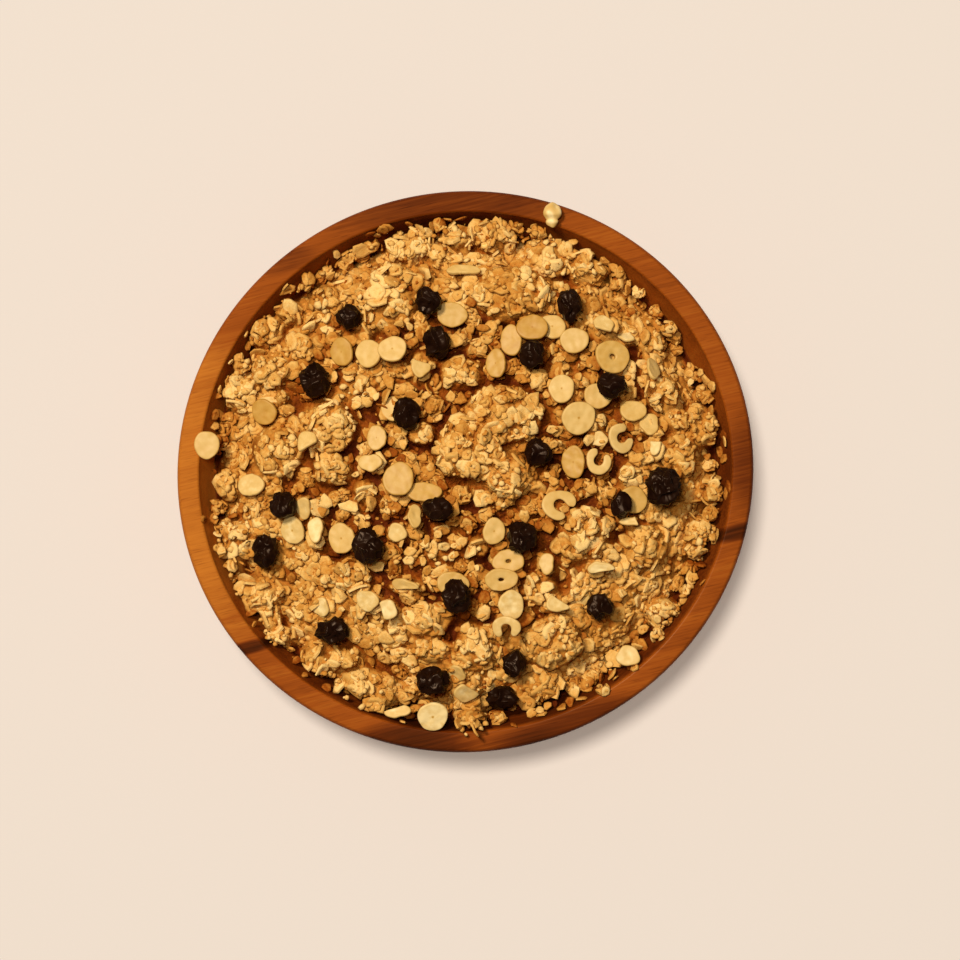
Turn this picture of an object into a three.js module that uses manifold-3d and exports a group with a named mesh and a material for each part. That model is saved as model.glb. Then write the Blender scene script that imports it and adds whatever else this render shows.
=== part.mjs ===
import * as THREE from 'three';
import { mergeVertices } from 'three/addons/utils/BufferGeometryUtils.js';
import Module from 'manifold-3d';

const wasm = await Module();
wasm.setup();

// A turned wooden bowl heaped with granola: toasted oat clusters and loose flakes,
// with hazelnut slices and dried berries lying on top. Millimetres, +Z up, the
// origin under the middle of the foot. +Y is the far side in the reference view.

// The bowl
const rimRadius = 100;       // outer edge of the rim, as turned
const rimInnerRadius = 92.3; // inner edge of the rim
const bowlHeight = 60;
const rimRound = 1.5;        // rounding of the rim's outer edge
const rimInnerRound = 1.0;
const footRadius = 46;
const footHeight = 4;
const floorThickness = 9;
const ovalLong = 1.0146;     // the wood has dried slightly oval, longest along its grain
const ovalShort = 0.9854;
const grainTurn = THREE.MathUtils.degToRad(14);
const roundSegments = 48;
const outerSteps = 5;        // facets down the bowl's outside
const wallSteps = 8;         // and down its inside

// The heap
const gap = 0.35;            // clearance between pieces that touch
const heapEdgeHeight = 46;   // where the heap meets the inner wall
const heapRise = 21;         // how far its middle stands above that
const heapShape = 0.5;       // below 1 is a fuller dome
const clusterLevel = 54;     // clusters by the wall reach up to here from the heap below
const clusterTall = 0.62;    // their height as a share of their width
const clusterStanding = 0.18; // and how much of it more than half stands out of the heap
const heapRings = 9;
const heapSegments = 24;
const waveHeight = 1.2;      // long hollows and swells of the heap
const coreBump = 1.6;        // and its short ones

// Loose things, as thick as real ones
const sliceThickness = 1.4;
const flakeThickness = 1.3;
const smallLumps = 24;
const looseFlakes = 26;

const radians = THREE.MathUtils.degToRad;

// Berries: x, y, size along x, size along y
const berries = [
  [-40.9, 53.9, 9.1, 9.5], [-53.1, 32.2, 10.9, 13], [-13.1, 59.9, 9.5, 10.5],
  [-10, 45.2, 9.8, 11.9], [23, 41, 8.8, 10.2], [36.4, 57.5, 9.5, 12.3],
  [51.1, 30.1, 10.9, 9.5], [-20.5, 20.3, 9.5, 12.3], [25.5, 6.9, 9.5, 10.2],
  [-9.6, -12.7, 11.2, 8.4], [19.9, -22.6, 10.9, 11.6], [-63.7, -11.3, 9.5, 9.5],
  [-70, -27.8, 10.5, 11.6], [-34.2, -25.7, 11.6, 13.3], [69, -5.4, 13.3, 14],
  [54.3, -11.7, 7.4, 9.8], [-46.8, -55.9, 12.3, 10.5], [-3.3, -43.6, 10.9, 12.3],
  [-11.4, -73.1, 11.6, 10.5], [17.1, -67.1, 8.8, 9.8], [12.8, -79.4, 12.6, 9.1],
  [47.2, -47.5, 9.8, 10.2],
];

// Hazelnut slices: x, y, size along x, size along y, kind, lean in degrees, lean direction.
// A ring has a hole, a half is cut off straight along one side, an open one is a curled C.
const slices = [
  [-43.3, 42, 8.8, 10.5, 'disc', 6, 200], [-33.8, 41.3, 9.8, 10.5, 'disc', 8, 160],
  [-25.4, 42.7, 10.5, 9.5, 'disc', 4, 90], [-4.7, 55, 11.2, 9.1, 'disc', 10, 300],
  [-0.8, 70.1, 11.9, 7, 'half', 12, 90], [16, 45.9, 7.6, 11.9, 'disc', 14, 180],
  [30.4, 50.8, 9.8, 9.1, 'disc', 6, 60], [23.4, 50.4, 11.2, 9.8, 'disc', 5, 120],
  [10.7, 37.8, 7.7, 10.5, 'disc', 16, 150], [38.1, 45.9, 10.2, 9.5, 'disc', 6, 250],
  [51.5, 40.3, 12.6, 12.3, 'ring', 5, 45], [46.5, 26.6, 10.2, 9.5, 'disc', 9, 200],
  [33.6, 29, 9.5, 10.2, 'disc', 7, 135], [39.5, 18.8, 12.3, 11.9, 'disc', 5, 270],
  [37.8, 3.4, 8.8, 11.6, 'disc', 12, 180], [46.5, 3.8, 8.8, 9.8, 'open', 10, 30],
  [58.8, 21.3, 9.5, 8, 'disc', 12, 100], [54.6, 11.8, 9.8, 10.5, 'open', 14, 330],
  [58.5, -9.9, 10.5, 10.2, 'disc', 7, 80], [32.9, -11.7, 12.6, 10.9, 'open', 5, 90],
  [-31, 11.8, 7, 9.5, 'disc', 15, 160], [-14.5, -7.1, 12.6, 7.4, 'disc', 10, 90],
  [-23.3, -2.6, 11.2, 12.3, 'disc', 6, 135], [10, -20.8, 8.1, 9.8, 'disc', 10, 45],
  [15, -31.3, 11.6, 8.4, 'ring', 8, 90], [12.5, -37.6, 11.9, 8.4, 'ring', 12, 260],
  [-90.7, 9.4, 9.5, 9.8, 'disc', 12, 0], [-70.7, 21, 9.5, 9.5, 'disc', 10, 300],
  [-75.3, -4.7, 11.6, 7.9, 'disc', 12, 120], [-60.5, -20.5, 8.8, 10.5, 'disc', 8, 225],
  [-43.3, -23.3, 9.8, 11.2, 'disc', 10, 180], [-4.4, -39.1, 11.6, 8.8, 'disc', 8, 60],
  [16, -46.4, 9.5, 10.5, 'disc', 9, 320], [14.3, -54.5, 10.5, 8.4, 'open', 10, 200],
  [-11.4, -85.7, 11.2, 10.9, 'disc', 12, 90],
];

// Slivers and chips of nut that are bedded in the oats: x, y, size along x, size along y, lean
const slivers = [
  [-15.6, 36.7, 7, 7.7, 12], [7.9, 71.5, 9.8, 6, 30], [48.3, 51.1, 7, 8.8, 14],
  [65.8, 36, 6, 9.5, 20], [57.1, 47.6, 7, 6, 15], [46.2, 11.5, 7.7, 5.3, 18],
  [64.5, 16.7, 6.7, 8.4, 22], [66.6, 9.6, 4.2, 8.4, 55], [58.5, -1.9, 9.1, 5.6, 14],
  [59.2, -17.3, 10.6, 3.2, 60], [47.2, -33.8, 9.8, 4.9, 20], [-26.1, 22, 6.7, 9.1, 20],
  [-33.1, 3.1, 9.1, 6, 20], [-17.7, -15.5, 4.9, 9.1, 35], [28.3, -32, 5.3, 7.7, 18],
  [-23.7, -21.2, 6.7, 6.7, 10], [-67.2, 25.5, 11.2, 3.6, 55], [-55.2, 10.1, 7.4, 9.8, 18],
  [-56.7, -12.7, 5.6, 8.4, 22], [-52.4, -20.1, 5.6, 9.5, 26], [-34.2, -45, 9, 7.5, 18],
  [-27.5, -48.2, 7.7, 7, 12], [-50.7, -47.5, 6.7, 7, 10], [-21.2, -39.8, 10.5, 5, 30],
  [32.2, -46.1, 9.1, 6, 20], [-2.9, -70.7, 6.3, 7, 14], [0.6, -77.3, 9.8, 7.7, 20],
  [-24, -84, 9.8, 5, 26], [39.9, -44.3, 7, 8.4, 16], [57.1, -64.7, 8.4, 7.4, 14],
];

// Oat clusters that stand out of the heap: x, y, size along x, size along y, and how much
// higher one that hangs over the rim is
const clusters = [
  [-12, 89, 10, 8], [-19, 80, 17, 13], [-3, 82, 11, 12], [10, 83, 17, 13], [29, 76, 15, 15],
  [43, 72, 18, 13], [16, 61, 26, 18], [-28, 60, 22, 25], [-71, 50, 14, 12], [-62, 56, 10, 9],
  [-50, 60, 10, 10], [-69, 35, 14, 11], [-79, 27, 12, 16], [-65, 7, 19, 19], [-47, 16, 15, 17],
  [-47, 1, 14, 11], [1, 8, 22, 21], [13, 20, 25, 21], [-1, 37, 20, 13], [16, -1, 16, 16],
  [40, -19, 23, 22], [62, -26, 16, 15], [83, 16, 14, 16], [87, -7, 10, 11], [83, -24, 13, 15],
  [69, 28, 13, 13], [65, 46, 11, 18], [75, 6, 11, 16], [29, -59, 19, 18], [3, -61, 13, 18],
  [-11, -62, 14, 8], [-13, -51, 18, 13], [-35, -78, 22, 18], [-50, -66, 16, 13],
  [-73, -43, 19, 12], [-69, -52, 9, 9], [-67, -58, 16, 8], [-81, -4, 13, 13],
  [-85, -21, 10, 9], [-79, -25, 13, 13], [-82, -34, 8, 9], [26, -41, 14, 11],
  [3, -82, 13, 10], [2, -89, 13, 11, 9], [65, -62, 11, 14], [70, -50, 11, 11], [45, -76, 9, 9], [27, -74, 13, 13],
  [-40, -36, 14, 11], [-20, -77, 8, 9], [37, -86, 9, 7],
];

// Draws numbers from 0 to 1 in the same order each time
function seeded(seed) {
  let state = seed;
  return () => {
    state = (state + 0x6d2b79f5) | 0;
    let mixed = Math.imul(state ^ (state >>> 15), 1 | state);
    mixed = (mixed + Math.imul(mixed ^ (mixed >>> 7), 61 | mixed)) ^ mixed;
    return ((mixed ^ (mixed >>> 14)) >>> 0) / 4294967296;
  };
}

// --- geometry helpers ---

function bare(geometry) {
  geometry.deleteAttribute('normal');
  geometry.deleteAttribute('uv');
  return mergeVertices(geometry, 1e-4);
}

function solid(geometry) {
  const merged = bare(geometry.clone());
  const corners = merged.index.array;
  const kept = [];
  for (let i = 0; i < corners.length; i += 3) {
    const [a, b, c] = corners.subarray(i, i + 3);
    if (a !== b && b !== c && c !== a) kept.push(a, b, c);
  }
  return new wasm.Manifold(new wasm.Mesh({
    numProp: 3,
    vertProperties: new Float32Array(merged.attributes.position.array),
    triVerts: new Uint32Array(kept),
  }));
}

function fromSolid(manifold) {
  const mesh = manifold.getMesh();
  const geometry = new THREE.BufferGeometry();
  geometry.setAttribute('position', new THREE.BufferAttribute(mesh.vertProperties, 3));
  geometry.setIndex(new THREE.BufferAttribute(mesh.triVerts, 1));
  return geometry;
}

// Turns a profile of radius and height about +Z, then makes it oval along the grain
function turned(profile, segments) {
  const geometry = new THREE.LatheGeometry(profile, segments);
  return geometry.rotateX(Math.PI / 2).scale(ovalLong, ovalShort, 1).rotateZ(grainTurn);
}

const point = (radius, height) => new THREE.Vector2(radius, height);

// --- the bowl ---

const outerCurve = new THREE.CubicBezierCurve(
  point(footRadius, footHeight),
  point(72, 7),
  point(91, 30),
  point(rimRadius, bowlHeight - rimRound * 2),
);
const innerCurve = new THREE.CubicBezierCurve(
  point(rimInnerRadius, bowlHeight - rimInnerRound),
  point(82, 26),
  point(60, floorThickness),
  point(0, floorThickness),
);

function bowlGeometry() {
  return turned([
    point(0, 0),
    point(footRadius - 1, 0),
    point(footRadius, 1),
    ...outerCurve.getPoints(outerSteps),
    point(rimRadius - rimRound * 0.3, bowlHeight - rimRound * 0.7),
    point(rimRadius - rimRound, bowlHeight),
    point(rimInnerRadius + rimInnerRound, bowlHeight),
    point(rimInnerRadius + rimInnerRound * 0.3, bowlHeight - rimInnerRound * 0.3),
    ...innerCurve.getPoints(wallSteps),
  ], roundSegments);
}

// --- the heap's core ---

// The inner wall's own facets, moved inwards, from the middle up to the rim
function wallInside(clearance) {
  const wall = innerCurve.getPoints(wallSteps).map((at, i) => {
    const along = innerCurve.getTangent(i / wallSteps);
    return point(at.x + clearance * along.y, at.y - clearance * along.x);
  });
  wall.at(-1).x = 0;
  return wall.reverse();
}

const coreWall = wallInside(gap * 1.5);

// Where the heap meets the wall, on the facet that crosses that height
const facetAbove = coreWall.findIndex((at) => at.y > heapEdgeHeight);
const [below, above] = [coreWall[facetAbove - 1], coreWall[facetAbove]];
const heapEdge = below.clone().lerp(above, (heapEdgeHeight - below.y) / (above.y - below.y));

// Distance from the middle, in the round bowl's own terms before it went oval
function roundRadius(x, y) {
  const along = x * Math.cos(grainTurn) + y * Math.sin(grainTurn);
  const across = y * Math.cos(grainTurn) - x * Math.sin(grainTurn);
  return Math.hypot(along / ovalLong, across / ovalShort);
}

// A dome that falls to the heap's edge, with long swells that fade out there
function coreHeight(x, y) {
  const inside = Math.max(0, 1 - (roundRadius(x, y) / heapEdge.x) ** 2);
  const swell = Math.sin(x / 9 + 0.6) * Math.cos(y / 11 - 0.4) + 0.6 * Math.sin((x + y) / 7);
  return heapEdge.y + heapRise * inside ** heapShape + waveHeight * swell * Math.min(1, 4 * inside);
}

function coreGeometry() {
  const profile = [...coreWall.slice(0, facetAbove), heapEdge];
  for (let ring = 1; ring <= heapRings; ring++) {
    profile.push(point(heapEdge.x * (1 - ring / heapRings), heapEdge.y + 1));
  }
  const geometry = bare(turned(profile, heapSegments));
  const at = geometry.attributes.position;
  const random = seeded(40);
  for (let i = 0; i < at.count; i++) {
    if (at.getZ(i) < heapEdge.y + 0.5) continue;
    at.setZ(i, coreHeight(at.getX(i), at.getY(i)) + coreBump * (random() - 0.5));
  }
  return geometry;
}

// --- what lies where: a plan of the bowl in small square cells ---

const cell = 0.6;
const planCells = 344;
const planHalf = (cell * planCells) / 2;
const support = new Float32Array(planCells * planCells); // top of what is there
const ceiling = new Float32Array(planCells * planCells).fill(Infinity); // underside of toppings

const cellAt = (value) => Math.floor((value + planHalf) / cell);
const cellMiddle = (index) => (index + 0.5) * cell - planHalf;

// For each cell under a closed shape, calls visit(cell, lowest height, highest height)
function eachCell(geometry, visit) {
  const at = geometry.attributes.position;
  const corners = geometry.index.array;
  const low = new Map();
  const high = new Map();
  for (let i = 0; i < corners.length; i += 3) {
    const [a, b, c] = [0, 1, 2].map((k) => new THREE.Vector3().fromBufferAttribute(at, corners[i + k]));
    const area = (b.x - a.x) * (c.y - a.y) - (c.x - a.x) * (b.y - a.y);
    if (Math.abs(area) < 1e-9) continue;
    for (let row = cellAt(Math.min(a.y, b.y, c.y)); row <= cellAt(Math.max(a.y, b.y, c.y)); row++) {
      for (let col = cellAt(Math.min(a.x, b.x, c.x)); col <= cellAt(Math.max(a.x, b.x, c.x)); col++) {
        const [x, y] = [cellMiddle(col), cellMiddle(row)];
        const toB = ((x - a.x) * (c.y - a.y) - (c.x - a.x) * (y - a.y)) / area;
        const toC = ((b.x - a.x) * (y - a.y) - (x - a.x) * (b.y - a.y)) / area;
        if (toB < -0.01 || toC < -0.01 || toB + toC > 1.01) continue;
        const z = a.z + toB * (b.z - a.z) + toC * (c.z - a.z);
        const key = row * planCells + col;
        low.set(key, Math.min(low.get(key) ?? Infinity, z));
        high.set(key, Math.max(high.get(key) ?? -Infinity, z));
      }
    }
  }
  for (const [key, z] of low) visit(key, z, high.get(key));
}

const around = [-1, 0, 1].flatMap((row) => [-1, 0, 1].map((col) => row * planCells + col));

// Lets a topping down until it is a gap above what is there, then adds it to the plan
function settle(geometry) {
  let drop = Infinity;
  eachCell(geometry, (key, low) => {
    for (const step of around) drop = Math.min(drop, low - support[key + step]);
  });
  geometry.translate(0, 0, gap - drop);
  eachCell(geometry, (key, low, high) => {
    for (const step of around) {
      support[key + step] = Math.max(support[key + step], high);
      ceiling[key + step] = Math.min(ceiling[key + step], low);
    }
  });
  return geometry;
}

function isClear(geometry) {
  let clear = true;
  eachCell(geometry, (key, low, high) => {
    if (high > ceiling[key] - gap) clear = false;
  });
  return clear;
}

// Leans a flat thing by an angle towards a direction, on top of the heap's own slope
function lieOn(geometry, x, y, lean, direction) {
  const reach = 4;
  const slope = point(
    (coreHeight(x + reach, y) - coreHeight(x - reach, y)) / (2 * reach),
    (coreHeight(x, y + reach) - coreHeight(x, y - reach)) / (2 * reach),
  );
  const up = new THREE.Vector3(-slope.x, -slope.y, 1).normalize();
  const upright = new THREE.Vector3(0, 0, 1);
  const turn = new THREE.Quaternion().setFromUnitVectors(upright, up);
  const axis = new THREE.Vector3(-Math.sin(radians(direction)), Math.cos(radians(direction)), 0);
  turn.multiply(new THREE.Quaternion().setFromAxisAngle(axis, radians(lean)));
  return geometry.applyQuaternion(turn).translate(x, y, coreHeight(x, y));
}

// --- toppings and granola pieces, each made round its own middle ---

// A many-sided ball with every corner moved in or out at random by up to unevenness
const manySided = () => new THREE.IcosahedronGeometry(1, 1);
const dozenSided = () => new THREE.DodecahedronGeometry(1);
const fewSided = () => new THREE.IcosahedronGeometry(1);

function lump(sizeX, sizeY, sizeZ, ball, unevenness, random) {
  const geometry = bare(ball());
  geometry.rotateZ(random() * Math.PI).rotateX(random() * Math.PI);
  const at = geometry.attributes.position;
  for (let i = 0; i < at.count; i++) {
    const reach = 1 + unevenness * (2 * random() - 1);
    at.setXYZ(i, at.getX(i) * reach, at.getY(i) * reach, at.getZ(i) * reach);
  }
  return geometry.scale(sizeX / 2, sizeY / 2, sizeZ / 2);
}

// The lobed outline of a nut slice, as a radius near 1 for each angle
function lobedOutline(random) {
  const [second, third, fifth] = [random(), random(), random()].map((part) => part * 2 * Math.PI);
  return (angle) => 1 + 0.035 * Math.cos(2 * angle + second) + 0.035 * Math.cos(3 * angle + third)
    + 0.02 * Math.cos(5 * angle + fifth);
}

function sliceGeometry(sizeX, sizeY, kind, random) {
  const corners = 12;
  const holeCorners = 6;
  const holeShare = 0.18;
  const openShare = 0.36;
  const outline = lobedOutline(random);
  const turn = random() * 2 * Math.PI;
  const on = (angle, share) => point(
    Math.cos(angle) * outline(angle) * share * sizeX / 2,
    Math.sin(angle) * outline(angle) * share * sizeY / 2,
  );
  let points = [];
  if (kind === 'open') {
    // a C: out along the outer arc, back along the inner one
    const arc = radians(300);
    for (let i = 0; i <= 11; i++) points.push(on(turn + (arc * i) / 11, 1));
    for (let i = 7; i >= 0; i--) points.push(on(turn + (arc * i) / 7, openShare));
  } else {
    for (let i = 0; i < corners; i++) points.push(on((2 * Math.PI * i) / corners, 1));
  }
  if (kind === 'half') points = points.map((at) => point(at.x, Math.max(at.y, -0.12 * sizeY)));
  const shape = new THREE.Shape(points);
  if (kind === 'ring') {
    const hole = [];
    for (let i = 0; i < holeCorners; i++) hole.push(on((2 * Math.PI * i) / holeCorners, holeShare));
    shape.holes.push(new THREE.Path(hole));
  }
  const geometry = new THREE.ExtrudeGeometry(shape, { depth: sliceThickness, bevelEnabled: false });
  return bare(geometry.translate(0, 0, -sliceThickness / 2));
}

// A rolled oat or a sliver of nut: a thin six-sided plate
function flakeGeometry(length, width, turn) {
  const sides = 6;
  const corners = [];
  for (let i = 0; i < sides; i++) {
    const angle = (2 * Math.PI * i) / sides;
    corners.push(point((Math.cos(angle) * length) / 2, (Math.sin(angle) * width) / 2));
  }
  const settings = { depth: flakeThickness, bevelEnabled: false };
  const geometry = new THREE.ExtrudeGeometry(new THREE.Shape(corners), settings);
  return bare(geometry.translate(0, 0, -flakeThickness / 2).rotateZ(turn));
}

// --- the whole ---

const wood = new THREE.MeshStandardMaterial({ color: 0x9c4f1c, roughness: 0.45, metalness: 0 });
const oat = new THREE.MeshStandardMaterial({ color: 0xc98d45, roughness: 0.75, metalness: 0, flatShading: true });
const nut = new THREE.MeshStandardMaterial({ color: 0xeec27a, roughness: 0.55, metalness: 0, flatShading: true });
const fruit = new THREE.MeshStandardMaterial({ color: 0x1c110d, roughness: 0.3, metalness: 0, flatShading: true });

const granolaBowl = new THREE.Group();

function addPart(name, geometry, material) {
  const mesh = new THREE.Mesh(geometry, material);
  mesh.name = name;
  granolaBowl.add(mesh);
}

addPart('bowl', bowlGeometry(), wood);

// The plan starts as the bowl with the bare core in it
for (const geometry of [bare(bowlGeometry()), coreGeometry()]) {
  eachCell(geometry, (key, low, high) => {
    support[key] = Math.max(support[key], high);
  });
}

const twoDigits = (index) => String(index + 1).padStart(2, '0');

slices.forEach(([x, y, sizeX, sizeY, kind, lean, direction], index) => {
  const random = seeded(100 + index);
  const geometry = lieOn(sliceGeometry(sizeX, sizeY, kind, random), x, y, lean, direction);
  addPart(`hazelnut_${kind}_${twoDigits(index)}`, settle(geometry), nut);
});

// Two lumps of nut stuck together, lying on the rim
const rimPieceMiddle = point(30.4, 90.1);
const rimPiece = solid(lump(7.4, 6.2, 5.2, dozenSided, 0.06, seeded(7)).translate(0, 1.4, 0))
  .add(solid(lump(5.6, 4.6, 3.8, dozenSided, 0.06, seeded(8)).translate(0.6, -2.4, -0.4)));
const rimPieceShape = fromSolid(rimPiece).translate(rimPieceMiddle.x, rimPieceMiddle.y, bowlHeight + 5);
addPart('hazelnut_chunk', settle(rimPieceShape), nut);

berries.forEach(([x, y, sizeX, sizeY], index) => {
  const height = 0.86 * Math.min(sizeX, sizeY);
  const geometry = lump(sizeX, sizeY, height, manySided, 0.07, seeded(300 + index));
  addPart(`dried_berry_${twoDigits(index)}`, settle(geometry.translate(x, y, bowlHeight + 20)), fruit);
});

// Fuses a piece on, moved aside, deeper or smaller where it would cross a topping, or leaves it out
const asides = [point(0, 0), ...[1.5, 3].flatMap((far) => [0, 1, 2, 3, 4, 5, 6, 7].map(
  (eighth) => point(far * Math.cos(eighth * Math.PI / 4), far * Math.sin(eighth * Math.PI / 4)),
))];
let heap = solid(coreGeometry());
function fuse(make) {
  for (const share of [1, 0.86, 0.72, 0.58]) {
    for (const sink of [0, 1.2, 2.4]) {
      for (const aside of asides) {
        const geometry = make(share).translate(aside.x, aside.y, -sink);
        if (isClear(geometry)) {
          heap = heap.add(solid(geometry));
          return;
        }
      }
    }
  }
}

clusters.forEach(([x, y, sizeX, sizeY, higher = 0], index) => {
  fuse((share) => {
    const low = coreHeight(x, y);
    const lift = Math.max(0, clusterLevel - low) + higher;
    const sizeZ = clusterTall * Math.min(sizeX, sizeY, 17) + lift;
    const ball = Math.min(sizeX, sizeY) < 15 ? dozenSided : manySided;
    const geometry = lump(sizeX * share, sizeY * share, sizeZ * share, ball, 0.14, seeded(500 + index));
    return geometry.translate(x, y, low + lift / 2 + clusterStanding * (sizeZ - lift));
  });
});

slivers.forEach(([x, y, sizeX, sizeY, lean], index) => {
  fuse((share) => {
    const geometry = flakeGeometry(sizeX * share, sizeY * share, 0);
    return lieOn(geometry, x, y, lean, index * 77).translate(0, 0, 0.5);
  });
});

// Spreads small things evenly over the heap: each turns on by the golden angle
function scatter(count, seed, make) {
  const random = seeded(seed);
  const goldenAngle = Math.PI * (3 - Math.sqrt(5));
  for (let i = 0; i < count; i++) {
    const radius = (heapEdge.x - 3) * Math.sqrt((i + 0.5) / count) + 2 * (random() - 0.5);
    const angle = goldenAngle * i + 0.15 * random();
    make(radius * Math.cos(angle), radius * Math.sin(angle), [random(), random(), random(), random()]);
  }
}

scatter(smallLumps, 900, (x, y, [size, stretch, height, seed]) => {
  const across = 5 + 4 * size;
  fuse((share) => {
    const random = seeded(Math.floor(seed * 1e6));
    const geometry = lump(across * share, across * share * (0.75 + 0.4 * stretch), 4.5 * share, fewSided, 0.12, random);
    return geometry.translate(x, y, coreHeight(x, y) + 0.8 + height);
  });
});

scatter(looseFlakes, 901, (x, y, [size, turn, lean, direction]) => {
  fuse((share) => {
    const geometry = flakeGeometry((5.5 + 2.5 * size) * share, (4 + 1.5 * size) * share, turn * Math.PI);
    return lieOn(geometry, x, y, 8 + 34 * lean, direction * 360).translate(0, 0, 0.6);
  });
});

// Everything stays a gap inside the wall, and above the rim where it reaches over it
const overRim = 98;
const wellAbove = bowlHeight + 40;
const room = turned([
  ...wallInside(gap),
  point(rimInnerRadius - 0.2, bowlHeight + gap),
  point(overRim, bowlHeight + gap),
  point(overRim, wellAbove),
  point(0, wellAbove),
], roundSegments);
heap = heap.intersect(solid(room));

// The one outer skin is kept, which fills sealed hollows and drops loose scraps
const largest = heap.decompose().reduce((a, b) => (a.volume() > b.volume() ? a : b));
addPart('granola', fromSolid(largest), oat);

export default granolaBowl;
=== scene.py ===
import bpy
import numpy as np
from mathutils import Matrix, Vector


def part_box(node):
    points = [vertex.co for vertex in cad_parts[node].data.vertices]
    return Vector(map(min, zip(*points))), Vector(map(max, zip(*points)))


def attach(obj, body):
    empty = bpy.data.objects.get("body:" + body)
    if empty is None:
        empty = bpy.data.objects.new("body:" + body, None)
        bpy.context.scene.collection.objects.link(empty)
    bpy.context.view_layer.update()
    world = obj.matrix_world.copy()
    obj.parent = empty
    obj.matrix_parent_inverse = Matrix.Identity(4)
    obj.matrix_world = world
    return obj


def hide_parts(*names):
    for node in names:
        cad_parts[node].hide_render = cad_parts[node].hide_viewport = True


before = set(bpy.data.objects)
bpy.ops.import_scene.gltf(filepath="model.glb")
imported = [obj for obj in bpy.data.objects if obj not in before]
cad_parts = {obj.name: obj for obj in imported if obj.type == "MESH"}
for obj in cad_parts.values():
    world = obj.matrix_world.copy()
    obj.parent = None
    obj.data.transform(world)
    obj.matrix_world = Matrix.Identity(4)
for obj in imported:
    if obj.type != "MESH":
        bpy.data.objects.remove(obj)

# A turned wooden bowl heaped with granola: oat clusters, loose flakes, hazelnut slices and dried
# berries, each laid over its own solid of the frame. Blender works in metres, so sizes are in mm.
mm = 0.001
fullTurn = 2 * np.pi
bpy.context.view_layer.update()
bowlNode = "bowl"
granolaNode = "granola"
chunkNode = "hazelnut_chunk"
sliceNodes = sorted(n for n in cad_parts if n.startswith("hazelnut_") and n != chunkNode)
berryNodes = sorted(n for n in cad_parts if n.startswith("dried_berry_"))
toppingNodes = sliceNodes + berryNodes + [chunkNode]


# small tools

def linear(colour):
    # an sRGB hex colour as linear red, green, blue and a full alpha
    channels = np.array([int(colour[i:i + 2], 16) for i in (1, 3, 5)]) / 255
    steep = ((channels + 0.055) / 1.055) ** 2.4
    return (*(float(c) for c in np.where(channels <= 0.04045, channels / 12.92, steep)), 1.0)


def addNode(tree, kind, settings=None):
    # adds one node. Each setting is a link to an input, a property of the node, or the value of
    # an input
    node = tree.nodes.new("ShaderNode" + kind)
    for key, value in (settings or {}).items():
        if isinstance(value, bpy.types.NodeSocket):
            tree.links.new(value, node.inputs[key])
        elif isinstance(key, str) and hasattr(node, key):
            setattr(node, key, value)
        else:
            node.inputs[key].default_value = value
    return node


def colourSteps(ramp, steps):
    # sets a colour ramp's stops from pairs of place and sRGB hex
    while len(ramp.elements) < len(steps):
        ramp.elements.new(1)
    for element, (place, colour) in zip(ramp.elements, steps):
        element.position = place
        element.color = linear(colour)


def newMaterial(name, roughness, ior, specular, tint="#FFFFFF"):
    # a material, its tree, its shader with the plain numbers set, and the Object coordinates
    material = bpy.data.materials.new(name)
    material.use_nodes = True
    tree = material.node_tree
    tree.nodes.clear()
    shader = addNode(tree, "BsdfPrincipled", {"Roughness": roughness, "IOR": ior,
                                              "Specular IOR Level": specular, "Specular Tint": linear(tint)})
    addNode(tree, "OutputMaterial", {"Surface": shader.outputs[0]})
    return material, tree, shader, addNode(tree, "TexCoord").outputs["Object"]


def mottledColour(tree, shader, place, look):
    # colours the shader by the tone attribute moved up and down by a noise, and returns the noise
    detail, roughness = look["mottleDetail"]
    strength = look["mottleStrength"]
    tone = addNode(tree, "Attribute", {"attribute_name": "tone"})
    mottle = addNode(tree, "TexNoise", {"Scale": 1 / look["mottle"], "Detail": detail, "Roughness": roughness,
                                        "Vector": place})
    change = addNode(tree, "Math", {"operation": "MULTIPLY_ADD", 0: mottle.outputs["Fac"], 1: strength * 2,
                                    2: -strength})
    shade = addNode(tree, "Math", {"operation": "ADD", "use_clamp": True, 0: tone.outputs["Fac"],
                                   1: change.outputs[0]})
    ramp = addNode(tree, "ValToRGB", {"Fac": shade.outputs[0]})
    colourSteps(ramp.color_ramp, look["steps"])
    tree.links.new(ramp.outputs["Color"], shader.inputs["Base Color"])
    return mottle.outputs["Fac"]


def ripple(points, size, seed, waves=18):
    # smooth noise, mostly from -1 to 1: plane waves about size long in random directions, added up
    draw = np.random.default_rng(seed)
    direction = draw.normal(size=(waves, 3))
    length = size * draw.uniform(0.7, 1.4, (waves, 1))
    direction /= np.linalg.norm(direction, axis=1, keepdims=True) * length
    phase = draw.uniform(0, fullTurn, waves)
    return np.sin(fullTurn * points @ direction.T + phase).sum(-1) / np.sqrt(waves)


def unit(vectors):
    # vectors made one long
    return vectors / np.linalg.norm(vectors, axis=-1, keepdims=True)


def evenTurns(count):
    # even angles once round
    return np.arange(count) / count * fullTurn


def meshOf(name):
    # a CAD node's corners and triangles as arrays
    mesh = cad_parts[name].data
    points = np.empty(len(mesh.vertices) * 3, np.float32)
    mesh.vertices.foreach_get("co", points)
    mesh.calc_loop_triangles()
    corners = np.empty(len(mesh.loop_triangles) * 3, np.int32)
    mesh.loop_triangles.foreach_get("vertices", corners)
    return points.reshape(-1, 3).astype(float), corners.reshape(-1, 3)


def addObject(name, data):
    # a new object in the scene, at the origin
    added = bpy.data.objects.new(name, data)
    bpy.context.scene.collection.objects.link(added)
    return added


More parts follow.
